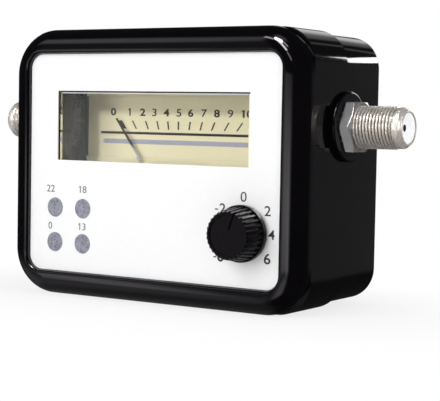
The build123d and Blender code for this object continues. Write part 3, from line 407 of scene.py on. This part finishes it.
def pointer_paint():
    """Black paint on the pointer's tip. Towards the pivot, nearer than 21 mm, the bare grey metal shows."""
    f = Finish("pointer_black")
    painted = f.span(f.distance(pivot, (1, 0, 1)), 19.5 * MM, 21.5 * MM, 0, 1, smooth=True)
    metal_tone = f.blend(f.noise(1.5, 3), (0.36, 0.35, 0.32), (0.46, 0.45, 0.42))
    f.colour(f.blend(painted, metal_tone, (0.012, 0.012, 0.012)))
    f.rough(0.32, 0.48, 5, 3)
    f.bump(f.noise(12, 2), 0.001)
    return f.material


def face_sheet():
    """White printed sheet: satin, with the faintest print grain."""
    f = Finish("face_sheet")
    f.colour(f.blend(f.noise(0.9, 4), (0.79, 0.79, 0.795), (0.82, 0.82, 0.822)))
    f.rough(0.38, 0.5, 4, 3)
    f.bump(f.noise(10, 3), 0.0015)
    f.set(Specular_IOR_Level=0.35)
    return f.material


def lamp_frost():
    """Frosted grey lilac window, speckled by its rough inner face."""
    f = Finish("lamp_frost")
    speckle = f.span(f.noise(1.5, 5, 0.8), 0.4, 0.6, 0, 1)
    patch = f.blend(f.cells(1.5), (0.05, 0.05, 0.10), (0.27, 0.27, 0.31))
    f.colour(f.blend(speckle, patch, (0.31, 0.31, 0.375)))
    f.rough(0.35, 0.6, 6, 3)
    f.bump(f.noise(4.5, 4, 0.7), 0.02)
    f.set(Subsurface_Weight=0.15, Subsurface_Scale=0.0008)
    return f.material


def dial_card():
    """Cream card of the dial, matt, with slightly darker flecks."""
    f = Finish("dial_card")
    tone = f.blend(f.noise(0.25, 3), (0.86, 0.79, 0.52), (0.89, 0.83, 0.57))
    f.colour(f.blend(f.span(f.noise(2.5, 5), 0.4, 0.75, 0, 0.35), tone, (0.82, 0.745, 0.48)))
    f.rough(0.6, 0.75, 3, 3)
    f.bump(f.noise(9, 3), 0.003)
    f.set(Specular_IOR_Level=0.3)
    return f.material


def lilac_band():
    """Grey lilac band of the dial, whose left end fades into the card."""
    f = Finish("lilac_band")
    place = f.add("ShaderNodeTexCoord")
    axes = f.add("ShaderNodeSeparateXYZ")
    f.join(place.outputs["Object"], axes.inputs[0])
    fade = f.span(axes.outputs["X"], -22.3 * MM, -21.3 * MM, 0, 1, smooth=True)
    ink = f.blend(f.noise(2.2, 4), (0.36, 0.36, 0.46), (0.46, 0.46, 0.53))
    f.colour(f.blend(fade, (0.78, 0.72, 0.52), ink))
    f.rough(0.5, 0.65, 5, 3)
    f.bump(f.noise(10, 2), 0.001)
    return f.material


def clear_plastic():
    """Clear moulded plastic that lets the lamps through to what lies behind it."""
    f = Finish("clear_plastic")
    f.colour(f.blend(f.noise(0.1, 2), (0.97, 0.97, 0.965), (0.99, 0.99, 0.985)))
    f.bump(f.noise(0.15, 1), 0.01)
    f.set(Roughness=0.03, IOR=1.49, Transmission_Weight=1.0)
    path = f.add("ShaderNodeLightPath")
    open_shader = f.add("ShaderNodeBsdfTransparent")
    open_shader.inputs["Color"].default_value = (0.97, 0.97, 0.965, 1)
    mix = f.add("ShaderNodeMixShader")
    f.join(path.outputs["Is Shadow Ray"], mix.inputs[0])
    f.join(f.shader.outputs[0], mix.inputs[1])
    f.join(open_shader.outputs[0], mix.inputs[2])
    f.join(mix.outputs[0], f.output.inputs["Surface"])
    return f.material


def wound_copper():
    """Fine enamelled wire, wound side by side."""
    f = Finish("wound_copper")
    wave = f.add("ShaderNodeTexWave", wave_type="BANDS", bands_direction="Y")
    wave.inputs["Scale"].default_value = 3.0
    f.join(f.where(), wave.inputs["Vector"])
    f.colour(f.blend(wave.outputs["Fac"], (0.30, 0.09, 0.03), (0.62, 0.25, 0.10)))
    f.bump(wave.outputs["Fac"], 0.03)
    f.set(Metallic=0.9, Roughness=0.32)
    return f.material


def solder_mask():
    """Green board with faint tracks under its mask."""
    f = Finish("solder_mask")
    tracks = f.add("ShaderNodeTexBrick")
    tracks.inputs["Scale"].default_value = 0.35
    tracks.inputs["Color1"].default_value = (0.03, 0.20, 0.09, 1)
    tracks.inputs["Color2"].default_value = (0.04, 0.24, 0.11, 1)
    tracks.inputs["Mortar"].default_value = (0.02, 0.12, 0.05, 1)
    f.join(f.where(), tracks.inputs["Vector"])
    f.colour(tracks.outputs["Color"])
    f.rough(0.25, 0.4, 3, 3)
    f.bump(tracks.outputs["Fac"], 0.01)
    return f.material


nickel_light, nickel_dark = (0.86, 0.80, 0.74), (0.74, 0.69, 0.64)
finishes = {
    "case_black": moulded("case_black", (0.0012, 0.0010, 0.0013), (0.0022, 0.0018, 0.0024), 0.07, 0.02, 0.015,
                          tint=(0.98, 0.92, 1.0)),
    "face_white": face_sheet(),
    "lamp_frost": lamp_frost(),
    "led_clear": moulded("led_clear", (0.62, 0.62, 0.6), (0.7, 0.7, 0.66), 0.15, 0.04, 0.004),
    "clear_plastic": clear_plastic(),
    "dial_cream": dial_card(),
    "meter_black": moulded("meter_black", (0.018, 0.016, 0.026), (0.034, 0.031, 0.044), 0.4, 0.08, 0.01,
                           gloss=0.2, tint=(0.8, 0.7, 1.0)),
    "pointer_black": pointer_paint(),
    "knob_black": moulded("knob_black", (0.0035, 0.003, 0.0037), (0.006, 0.0053, 0.0064), 0.3, 0.05, 0.004,
                          grain=3.0, gloss=0.12, tint=(1.0, 0.9, 1.0)),
    "nickel": nickel_plate("nickel", nickel_light, nickel_dark, 0.62, 0.26),
    "insulator_white": moulded("insulator_white", (0.84, 0.84, 0.86), (0.88, 0.88, 0.89), 0.4, 0.06, 0.006),
    "brass": metal("brass", (0.83, 0.62, 0.28), 0.22, 0.06),
    "steel": metal("steel", (0.60, 0.60, 0.62), 0.28, 0.08),
    "aluminium": metal("aluminium", (0.75, 0.75, 0.77), 0.3, 0.07),
    "magnet_grey": metal("magnet_grey", (0.30, 0.30, 0.32), 0.5, 0.1, 0.01),
    "copper": wound_copper(),
    "board_green": solder_mask(),
    "part_black": moulded("part_black", (0.018, 0.018, 0.018), (0.028, 0.028, 0.028), 0.5, 0.08, 0.006),
    "sleeve_blue": moulded("sleeve_blue", (0.03, 0.06, 0.2), (0.045, 0.08, 0.25), 0.3, 0.06, 0.005),
    "tin": metal("tin", (0.72, 0.72, 0.70), 0.24, 0.08),
    "phenolic_brown": moulded("phenolic_brown", (0.2, 0.1, 0.045), (0.28, 0.15, 0.07), 0.5, 0.08, 0.008),
}
ink_black = printed("ink_black", (0.018, 0.017, 0.016))
ink_grey = printed("ink_grey", (0.085, 0.085, 0.085))
threaded = nickel_plate("threaded_nickel", nickel_light, nickel_dark, 0.62, 0.26, painted_root_shade=True)
nut_nickel = nickel_plate("nut_nickel", (0.40, 0.395, 0.40), (0.34, 0.335, 0.34), 0.7, 0.2)
# Painted shade for the inside of the insulator's bore, made with the ink finish
bore_shade = printed("bore_shade", (0.012, 0.011, 0.012), 0.6)

for row in frame["record"]["subparts"]:
    node = nodes[row["node"]]
    node.data.materials.clear()
    node.data.materials.append(finishes[row["material_slot"]])


# The main mouldings with their triangles joined

for name in ("front_shell", "rear_cover"):
    settle(eased_copy(name), "case", finishes["case_black"])
settle(eased_copy("knob"), "knob", finishes["knob_black"])


# Printing on the face plate

def face_numbers():
    """Numbers over the lamps and around the knob, and the dashes of the numbers below zero. Places are in
    millimetres, from the plate's middle and from the knob's axis."""
    lamp_words = (("22", -28.7, -6.2), ("18", -18.9, -6.1), ("0", -28.75, -15.1), ("13", -19.0, -14.9))
    lamp_height = 1.65 * MM
    words = [(text, x * MM, plate_middle + z * MM, lamp_height, 0.0) for text, x, z in lamp_words]
    small = numerals("lamp_numbers", words, plate_front - INK, 2 * INK, 1.08)
    settle(small, "case", ink_grey)
    level_words = (
        ("0", -0.26, 8.0, 2.2, 0.0),
        ("2", 5.92, 5.2, 2.2, 0.008), ("4", 7.0, 0.07, 2.05, 0.02), ("6", 6.03, -5.19, 2.4, 0.015),
        ("2", -5.65, 5.22, 2.2, 0.008), ("4", -7.2, 0.07, 2.05, 0.02), ("6", -6.0, -5.5, 2.3, 0.03),
    )
    words = [
        (text, knob_x + x * MM, knob_z + z * MM, height * MM, weight)
        for text, x, z, height, weight in level_words
    ]
    large = numerals("level_numbers", words, plate_front - INK, 2 * INK, 1.12)
    settle(large, "case", ink_black)
    half_long, half_high = 0.4, 0.14
    outlines = []
    for x, z in ((-7.23, 4.95), (-8.75, 0.0), (-7.45, -5.66)):
        left, right = (knob_x + (x + a) * MM for a in (-half_long, half_long))
        low, high = (knob_z + (z + b) * MM for b in (-half_high, half_high))
        outlines.append(rectangle(left, right, low, high))
    settle(slabs("level_dashes", outlines, plate_front - INK, 2 * INK), "case", ink_black)


face_numbers()


# Printing on the dial

def dial_marks():
    """Base line, lilac band, ticks that point at the pivot, and the numbers above them, each with the small
    shift that it has from its tick. The card's top edge goes on a little above its plate."""
    left, right = -22.7 * MM, 26.0 * MM
    base = plate_middle + 7.35 * MM
    half = 0.29 * MM
    outlines = [rectangle(left, right, base - half, base + half)]
    tick_low, tick_high = plate_middle + 8.35 * MM, plate_middle + 10.3 * MM
    rise = plate_middle + 12.35 * MM
    number_height = 1.8 * MM
    words = []
    angles = (-37.0, -30.6, -22.8, -15.2, -7.6, 0.1, 8.5, 16.7, 24.4, 32.0, 38.25)
    shifts = (-0.5, 0.45, 0, -0.25, -0.15, 0.1, -0.2, -0.15, -0.4, -0.9, -0.3)
    for step, (angle, shift) in enumerate(zip(angles, shifts)):
        lean = tan(radians(angle))
        width = 0.5 * MM if step == 0 else 0.2 * MM
        foot = (tick_low - pivot[2]) * lean
        head = (tick_high - pivot[2]) * lean
        outlines.append([
            (foot - width, tick_low), (foot + width, tick_low),
            (head + width, tick_high), (head - width, tick_high),
        ])
        weight = 0.03 if step % 2 == 0 else 0.008
        words.append((str(step), (rise - pivot[2]) * lean + shift * MM, rise, number_height, weight))
    lines = slabs("dial_lines", outlines, dial_front - INK, 2 * INK)
    settle(lines, "case", ink_black)
    numbers = numerals("dial_numbers", words, dial_front - INK, 2 * INK, 1.33)
    settle(numbers, "case", ink_black)
    band_left, band_low, band_high = -22.2 * MM, plate_middle + 4.75 * MM, plate_middle + 5.85 * MM
    band = slabs("dial_band", [rectangle(band_left, right, band_low, band_high)], dial_front - INK, 2 * INK)
    settle(band, "case", lilac_band())
    card_low, card_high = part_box("dial_plate")
    outline = rectangle(card_low.x, card_high.x, card_high.z - 0.1 * MM, card_high.z + 1.15 * MM)
    edge = slabs("dial_top_edge", [outline], dial_front - 2 * INK, INK)
    settle(edge, "case", finishes["dial_cream"])


def pane_edges():
    """Painted light on the pane, as thin sheets: a painted shadow line and a painted highlight line under its
    head, and a painted reflection of the dial's cream along its right edge. They lie just in front of the pane.
    Heights are from the plate's middle."""
    front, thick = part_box("meter_cover")[0].y - 0.04 * MM, 0.03 * MM
    foot, head = 0.7, 17.1
    # Painted shadow, painted highlight, and painted reflection of the dial, in that order
    for name, left, right, low, high, slot, material in (
        ("pane_head_line", -26.6, 26.6, head - 0.3, head, "meter_black", ink_black),
        ("pane_head_edge", -26.2, 26.6, head - 0.58, head - 0.38, "face_white", finishes["face_white"]),
        ("pane_right_edge", 25.95, 26.6, foot, head - 0.6, "dial_cream", finishes["dial_cream"]),
    ):
        outline = rectangle(left * MM, right * MM, plate_middle + low * MM, plate_middle + high * MM)
        settle(slabs(name, [outline], front, thick), "case", material)


dial_marks()
pane_edges()


# Sockets. Profiles are pairs of reach, the distance from the object's middle, and radius, in millimetres.

thread_pitch = 25.4 / 32 * MM
thread_crest = 4.7625 * MM
thread_depth = 0.46 * MM
thread_from, thread_to = 39.2 * MM, 53.5 * MM


def insulator(side, name):
    """White insulator: a profile turned about the axis, whose end is a shallow funnel that leads to the bore.
    The bore's faces get painted shade, a dark colour in place of the shadow inside it."""
    profile = [
        (35.85, 0.62), (35.85, 3.4325), (55.6, 3.4325), (55.65, 3.38), (55.65, 3.2), (55.62, 3.05),
        (54.75, 0.95), (54.68, 0.78), (54.5, 0.74), (53.2, 0.74), (53.2, 0.62),
    ]
    dark_within = 0.8 * MM
    rows = np.array(profile) * MM
    points = turned_grid(side, rows[:, :1], rows[:, 1:], circle(64))
    obj = surface(name + "_turned", points, wrap_rows=True, wrap_columns=True)
    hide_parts(name)
    settle(obj, "case", finishes["insulator_white"])
    obj.data.materials.append(bore_shade)
    gap = np.hypot(*(face_middles(obj)[:, 1:] - (socket_y, socket_z)).T)
    obj.data.polygons.foreach_set("material_index", (gap < dark_within).astype(int))


def barrel(side, name):
    """Socket body: a profile turned about the axis, whose thread is a helix: along it the radius falls from the
    crest along the flanks of a V, by the distance along the axis less one pitch for each turn, and it rises out
    of the body at both ends."""
    before = [
        (35.85, 3.47), (35.85, 4.2), (36.25, 4.2), (36.25, 6.45), (36.3, 6.5), (37.7, 6.5), (37.75, 6.45),
        (37.75, 4.28), (39.0, 4.28),
    ]
    after = [
        (53.5, 4.42), (53.58, 4.5), (53.68, 4.54), (53.8, 4.5525), (54.8, 4.5525), (54.9, 4.53), (54.97, 4.47),
        (55.0, 4.38), (55.0, 4.26), (55.03, 4.2), (55.5, 4.0), (55.66, 3.93), (55.76, 3.85), (55.8, 3.75),
        (55.8, 3.56), (55.78, 3.5), (55.72, 3.47),
    ]
    rows_per_turn, columns = 16, 96
    crest_half, flank = 0.3, 0.62
    fade = 0.35 * MM
    around = circle(columns)
    along = np.linspace(thread_from, thread_to, int((thread_to - thread_from) / thread_pitch * rows_per_turn))
    phase = along[:, None] / thread_pitch - side * around[None, :] / ALL_ROUND
    saw = np.abs((phase % 1) * 2 - 1)
    groove = np.clip((saw - crest_half) / flank, 0, 1)
    ends = np.clip(np.minimum((along - thread_from), (thread_to - along)) / fade, 0, 1)[:, None]
    thread = thread_crest - thread_depth * (1 - (1 - groove) * ends)
    rows_before = np.array(before) * MM
    rows_after = np.array(after) * MM
    ones = np.ones((1, columns))
    reach = np.concatenate([rows_before[:, 0], along, rows_after[:, 0]])[:, None]
    radius = np.concatenate([rows_before[:, 1:] * ones, thread, rows_after[:, 1:] * ones])
    points = turned_grid(side, reach, radius, around)
    obj = surface(name, points, wrap_rows=True, wrap_columns=True, sharp=50)
    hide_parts(name.replace("_barrel", "_body"))
    settle(obj, "case", finishes["nickel"])
    obj.data.materials.append(threaded)
    along = np.abs(face_middles(obj)[:, 0])
    obj.data.polygons.foreach_set("material_index", ((along > thread_from) & (along < thread_to)).astype(int))


def nut(side, name):
    """Hexagon nut: at each angle the radius is the smaller of the flat's, flat / cos(angle from its middle), and
    that of a cone which takes off the corners, blended so that the edges are eased."""
    low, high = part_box(name)
    near = min(abs(low.x), abs(high.x))
    flat, corner = (high.z - low.z) / 2, (high.y - low.y) / 2
    thick, chamfer, back_chamfer = 2.4 * MM, 0.5 * MM, 0.1 * MM
    ease = 0.05 * MM
    columns = 240
    around = circle(columns)
    bay = (around + pi / 3) % (pi / 3) - pi / 6
    hexagon = np.minimum(flat / np.cos(bay), corner - 0.03 * MM)[None, :]
    rows = np.concatenate([np.linspace(0, 0.12, 5), np.linspace(0.3, 1.5, 4), np.linspace(1.65, 2.4, 16)]) * MM
    front = (thick - rows)[:, None]
    cone = corner + 0.02 * MM - np.clip(chamfer - front, 0, None) * 1.9
    back = corner + 0.5 * MM - np.clip(back_chamfer - rows, 0, None)[:, None] * 6
    cone = np.minimum(cone, back)
    least = cone.min()
    radius = least - ease * np.log(np.exp((least - hexagon) / ease) + np.exp((least - cone) / ease))
    bore = 4.80 * MM
    face = np.array([
        (near + thick, 5.3 * MM), (near + thick, 4.95 * MM), (near + thick - 0.1 * MM, bore),
        (near + 0.1 * MM, bore), (near, 4.9 * MM),
    ])
    reach = np.concatenate([near + rows[:, None], face[:, :1]])
    radius = np.concatenate([radius, face[:, 1:] * np.ones((1, columns))])
    points = turned_grid(side, reach, radius, around)
    obj = surface(name + "_eased", points, wrap_rows=True, wrap_columns=True, sharp=28)
    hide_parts(name)
    settle(obj, "case", nut_nickel)


def washer(side, name):
    """Toothed lock washer, whose rim goes in and out twenty times around: its outer radius grows and shrinks
    with the cosine of twenty times the angle, and it stays within the nut's flats."""
    low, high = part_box(name)
    near, far = sorted((abs(low.x), abs(high.x)))
    teeth, middle_radius, tooth_half = 20, 5.25, 0.2
    around = circle(8 * teeth)
    rim = (middle_radius + tooth_half * np.clip(1.6 * np.cos(teeth * around), -1, 1)) * MM
    ease = 0.08 * MM
    bore = np.full(len(around), 4.82 * MM)
    reach = np.array([near, near + ease, far - ease, far, far, near])[:, None]
    radius = np.stack([rim - ease, rim, rim, rim - ease, bore, bore])
    points = turned_grid(side, reach, radius, around)
    obj = surface(name + "_toothed", points, wrap_rows=True, wrap_columns=True)
    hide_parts(name)
    settle(obj, "case", nut_nickel)


def case_screws():
    """Four pan head screws: a profile of radius and depth in millimetres, turned about each screw's axis. The
    head's top is pressed in where the smaller of the two distances from the arms' middle lines is under the
    arm's half width and the larger one is under the arm's length, and the cross stands at another angle on
    each."""
    low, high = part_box("case_screws")
    head, shank, top = 2.6, 1.4, 2.1
    length = (high.y - low.y) / MM
    flat = [(r, -0.04 * (r / top) ** 2) for r in np.linspace(0, top, 22)]
    rest = [
        (2.3, -0.08), (2.45, -0.17), (2.55, -0.3), (head, -0.5), (head, -1.75), (head - 0.05, -1.8),
        (shank, -1.8), (shank, -length + 1.6), (0.25, -length), (0, -length),
    ]
    profile = np.array(flat + rest)
    around = circle(96)
    radius = profile[:, :1] * np.ones((1, 96))
    depth = profile[:, 1:] * np.ones((1, 96))
    first_turn, next_turn = 17, 31
    screws = []
    for step, (x, z) in enumerate(((low.x, low.z), (high.x, low.z), (low.x, high.z), (high.x, high.z))):
        turned = around + radians(first_turn + next_turn * step)
        across, along = radius * np.cos(turned), radius * np.sin(turned)
        narrow, far = np.minimum(abs(across), abs(along)), np.maximum(abs(across), abs(along))
        pressed = np.clip((0.46 - narrow) / 0.16, 0, 1) * np.clip((1.6 - far) / 0.45, 0, 1)
        pressed[len(flat):] = 0
        x += head * MM * (1 if x == low.x else -1)
        z += head * MM * (1 if z == low.z else -1)
        screws.append(np.stack([
            x + radius * np.cos(around) * MM, high.y + (depth - pressed) * MM, z + radius * np.sin(around) * MM,
        ], axis=-1))
    obj = surface("case_screws_crossed", np.stack(screws), wrap_columns=True)
    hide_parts("case_screws")
    settle(obj, "case", finishes["steel"])


case_screws()
for side, side_name in ((1, "right"), (-1, "left")):
    barrel(side, side_name + "_socket_barrel")
    nut(side, side_name + "_socket_nut")
    washer(side, side_name + "_socket_washer")
    insulator(side, side_name + "_socket_insulator")


# Studio

# Level of the surroundings on matt surfaces, of those that are seen through the window, and of the dim room that
# gloss mirrors between its bright places
soft_level = 0.6
window_level = 0.75
room_level = 0.02

# What the gloss mirrors: azimuth, elevation, half width and its softness, half height and its softness, level
mirrored_places = [
    (150, -1, 26, 4, 9, 3.5, 0.085),
    (171, 26, 1.5, 1, 8, 2, 0.25),
    (-178, 12, 8, 2, 6, 2, 3.0),
    (-159, 21, 10, 5, 6, 5, 1.1),
    (-174, 28, 5, 3, 5, 2, 0.3),
    (-47, 35, 12, 7, 9, 6, 0.85),
    (0, 70, 30, 15, 6, 6, 0.9),
    (-36, 8, 10, 8, 22, 6, 0.1),
    (-39, -12, 3.5, 3, 12, 7, 1.15),
    (-55, -30, 35, 15, 14, 10, 0.25),
    (-85, -50, 60, 15, 30, 15, 0.12),
    (-6, -3.5, 18, 10, 4, 4, 1.7),
    (6, -8, 6, 5, 4, 4, 1.0),
    (-2, -27, 12, 8, 14, 6, 1.0),
]


def world():
    """Plain surroundings: white to the camera and an even soft level on the object. What the gloss mirrors is a
    dim room with soft bright places. Angles are in degrees, and azimuth 0 is in front and grows to the right."""
    studio = bpy.data.worlds.new("studio")
    bpy.context.scene.world = studio
    studio.use_nodes = True
    tree = studio.node_tree
    tree.nodes.clear()

    def add(kind, **values):
        """New node of the world's tree, with its settings."""
        node = tree.nodes.new(kind)
        for key, value in values.items():
            setattr(node, key, value)
        return node

    def switch(share, first, second):
        """Level that goes from first to second with the share. Each is a number or a node's output."""
        node = add("ShaderNodeMix", data_type="FLOAT")
        tree.links.new(share, node.inputs[0])
        for socket, value in ((node.inputs[2], first), (node.inputs[3], second)):
            if isinstance(value, float):
                socket.default_value = value
            else:
                tree.links.new(value, socket)
        return node.outputs[0]

    def math(operation, *values):
        """Output of one sum, whose values are numbers or nodes' outputs."""
        node = add("ShaderNodeMath", operation=operation)
        for socket, value in zip(node.inputs, values):
            if isinstance(value, (int, float)):
                socket.default_value = value
            else:
                tree.links.new(value, socket)
        return node.outputs[0]

    def inside(angle, half, soft):
        """1 where the angle is inside the half width, with a soft edge, and 0 outside it."""
        node = add("ShaderNodeMapRange", interpolation_type="SMOOTHSTEP")
        limits = (("From Min", half + soft), ("From Max", half - soft), ("To Min", 0), ("To Max", 1))
        for key, number in limits:
            node.inputs[key].default_value = number
        tree.links.new(math("ABSOLUTE", angle), node.inputs["Value"])
        return node.outputs["Result"]

    place = add("ShaderNodeTexCoord")
    axes = add("ShaderNodeSeparateXYZ")
    tree.links.new(place.outputs["Generated"], axes.inputs[0])
    x, y, z = (axes.outputs[k] for k in "XYZ")
    azimuth = math("MULTIPLY", math("ARCTAN2", x, math("MULTIPLY", y, -1.0)), 180 / pi)
    elevation = math("MULTIPLY", math("ARCSINE", z), 180 / pi)
    seen = room_level
    for middle, height, half_wide, soft_wide, half_high, soft_high, level in mirrored_places:
        across = inside(math("WRAP", math("SUBTRACT", azimuth, middle), 180.0, -180.0), half_wide, soft_wide)
        up = inside(math("SUBTRACT", elevation, height), half_high, soft_high)
        seen = math("ADD", math("MULTIPLY", math("MULTIPLY", across, up), level), seen)
    path = add("ShaderNodeLightPath")
    soft = switch(path.outputs["Is Transmission Ray"], soft_level, window_level)
    on_object = switch(path.outputs["Is Glossy Ray"], soft, seen)
    background = add("ShaderNodeBackground")
    background.inputs["Color"].default_value = (1, 1, 1, 1)
    tree.links.new(switch(path.outputs["Is Camera Ray"], on_object, 1.0), background.inputs["Strength"])
    output = add("ShaderNodeOutputWorld")
    tree.links.new(background.outputs[0], output.inputs["Surface"])


def floor():
    """Round pale floor. Near the object it takes shadows, and away from it it turns to plain white."""
    reach = 420 * MM
    rings = np.linspace(0.001, 1, 40)[:, None] * reach
    around = circle(96)[None, :]
    points = np.stack([rings * np.cos(around), rings * np.sin(around), np.zeros((40, 96))], axis=-1)
    obj = surface("floor", points, wrap_columns=True)
    f = Finish("floor_white")
    f.set(Base_Color=(0.86, 0.86, 0.86, 1), Roughness=0.9, Specular_IOR_Level=0.0)
    place = f.add("ShaderNodeTexCoord")
    oval = f.add("ShaderNodeMapping")
    oval.inputs["Scale"].default_value = (0.55, 1, 1)
    f.join(place.outputs["Object"], oval.inputs["Vector"])
    gap = f.add("ShaderNodeVectorMath", operation="LENGTH")
    f.join(oval.outputs["Vector"], gap.inputs[0])
    away = f.span(gap.outputs["Value"], 20 * MM, 60 * MM, 0.78, 1, smooth=True)
    glow = f.add("ShaderNodeEmission")
    path = f.add("ShaderNodeLightPath")
    seen = f.add("ShaderNodeMath", operation="MULTIPLY")
    f.join(away, seen.inputs[0])
    f.join(path.outputs["Is Camera Ray"], seen.inputs[1])
    mix = f.add("ShaderNodeMixShader")
    f.join(seen.outputs[0], mix.inputs[0])
    f.join(f.shader.outputs[0], mix.inputs[1])
    f.join(glow.outputs[0], mix.inputs[2])
    f.join(mix.outputs[0], f.output.inputs["Surface"])
    obj.data.materials.append(f.material)
    obj.visible_glossy = False


def lamp(name, azimuth, elevation, distance, size, power, shows, roll=0):
    """Rectangular lamp that looks at the middle of the object. Azimuth 0 is in front, and grows to the right. It
    shows either in matt surfaces, as diffuse, or in gloss, as glossy."""
    middle = Vector((0, 0, 32 * MM))
    azimuth, elevation = radians(azimuth), radians(elevation)
    away = Vector((sin(azimuth) * cos(elevation), -cos(azimuth) * cos(elevation), sin(elevation)))
    light = bpy.data.lights.new(name, "AREA")
    light.shape = "RECTANGLE"
    light.size, light.size_y = size
    light.energy = power
    obj = add_object(name, light)
    turn = away.to_track_quat("Z", "Y").to_matrix().to_4x4() @ Matrix.Rotation(radians(roll), 4, "Z")
    obj.matrix_world = Matrix.Translation(middle + away * distance) @ turn
    obj.visible_camera = False
    obj.visible_diffuse = shows == "diffuse"
    obj.visible_glossy = shows == "glossy"
    obj.visible_transmission = False
    return obj


def gather(name, members, keep=True):
    """Collection that says which pieces a lamp lights, or which it leaves out."""
    group = bpy.data.collections.new(name)
    for member in members:
        group.objects.link(member)
    if not keep:
        for row in group.collection_objects:
            row.light_linking.link_state = "EXCLUDE"
    return group


def white_card():
    """White paper behind the case at its right, which only the gloss shows: a sheet and three scraps beside it,
    given by left, right, low and high in millimetres."""
    behind, thick = 120 * MM, 0.1 * MM
    brightness = 9.0
    sheets = ((60, 93.6, 75.5, 91), (94.2, 95.3, 87.5, 91), (95.8, 97.2, 87.8, 90.8), (97.9, 98.5, 88.2, 90.4))
    obj = slabs("white_card", np.array([rectangle(*sheet) for sheet in sheets]) * MM, behind, thick)
    f = Finish("white_card")
    glow = f.add("ShaderNodeEmission")
    glow.inputs["Strength"].default_value = brightness
    f.join(glow.outputs[0], f.output.inputs["Surface"])
    obj.data.materials.append(f.material)
    for kind in ("camera", "diffuse", "transmission", "volume_scatter", "shadow"):
        setattr(obj, "visible_" + kind, False)


def camera():
    """Camera at the photograph's angle, fitted to the plate, window, knob and socket. The focal length is in
    pixels of the photograph."""
    focal_pixels, photograph_width = 1388.35, 440
    place = Vector((184.400 * MM, plate_front - 257.761 * MM, 43.851 * MM))
    azimuth, elevation, roll = radians(32.62), radians(3.545), radians(1.05)
    data = bpy.data.cameras.new("camera")
    data.sensor_fit = "HORIZONTAL"
    data.sensor_width = 36.0
    data.lens = 36.0 * focal_pixels / photograph_width
    data.clip_start = 0.01
    data.clip_end = 10
    obj = add_object("camera", data)
    ahead = Vector((-sin(azimuth) * cos(elevation), cos(azimuth) * cos(elevation), -sin(elevation)))
    upright = (-ahead).to_track_quat("Z", "Y").to_matrix().to_4x4()
    obj.matrix_world = Matrix.Translation(place) @ upright @ Matrix.Rotation(roll, 4, "Z")
    bpy.context.scene.camera = obj


def named(word):
    """Pieces that have the word in their name."""
    return [o for o in bpy.data.objects if o.type == "MESH" and word in o.name]


def lights():
    """The lamps: name, azimuth, elevation, size, power and the pieces that each lights. Those that light matt
    surfaces are soft, and those that show in gloss alone draw its highlights. A lamp for one piece isn't shaded
    by the others."""
    meter_words = ("dial", "meter", "moving", "core", "yoke", "front", "rear", "bridge", "balance", "pivot")
    mouldings = named("front_shell") + named("rear_cover")
    meter = [o for o in named("_") if o.name.split("_")[0] in meter_words and o not in mouldings]
    knobs, sockets, nuts = named("knob"), named("socket"), named("socket_nut")
    in_window = gather("lit_in_window", meter)
    outside = gather("lit_outside", meter + nuts, keep=False)
    for name, azimuth, elevation, size, power, group in (
        ("window_key", -18, 21, (0.12, 0.12), 6.4, in_window),
        ("window_fill", -36, -2, (0.4, 0.3), 7.0, in_window),
        ("window_side", 14, -4, (0.5, 0.5), 1.2, in_window),
        ("key", -14, 26, (0.8, 0.8), 8.8, outside),
        ("low_fill", 28, -2, (0.7, 0.7), 2.6, outside),
    ):
        lamp(name, azimuth, elevation, 1.2, size, power, "diffuse").light_linking.receiver_collection = group
    side_fill = lamp("side_fill", 108, 12, 1.0, (0.5, 0.5), 4.5, "diffuse")
    side_fill.light_linking.receiver_collection = gather("beside_knob", knobs, keep=False)
    on_knob = gather("knob_only", knobs)
    on_socket = gather("sockets_only", sockets)
    on_nut = gather("nuts_only", nuts)
    for name, azimuth, elevation, size, power, shows, group in (
        ("knob_rim", 160, 40, (0.2, 0.2), 3.0, "glossy", on_knob),
        ("knob_streaks", 176, 32, (0.16, 0.12), 5.0, "glossy", on_knob),
        ("socket_front", -32, 10, (0.4, 0.34), 1.1, "glossy", on_socket),
        ("socket_right", 60, 12, (0.5, 0.5), 2.4, "glossy", on_socket),
        ("nut_fill", -20, -40, (0.4, 0.4), 11.0, "diffuse", on_nut),
    ):
        linking = lamp(name, azimuth, elevation, 0.8, size, power, shows).light_linking
        linking.receiver_collection = group
        linking.blocker_collection = group
    for name, azimuth, elevation, size, power, roll in (
        ("corner_box", -4, 55, (0.18, 0.17), 4.6, 0),
        ("corner_side", -27, 49, (0.2, 0.1), 0.38, 0),
        ("corner_tail", 4, 42, (0.26, 0.11), 1.44, -50),
        ("corner_end", 15, 27, (0.18, 0.08), 0.14, -50),
        ("corner_second", 15, 53, (0.22, 0.045), 0.31, -45),
    ):
        lamp(name, azimuth, elevation, 0.8, size, power, "glossy", roll)


world()
floor()
white_card()
lights()
camera()

settings = bpy.context.scene.view_settings
settings.view_transform = "Standard"
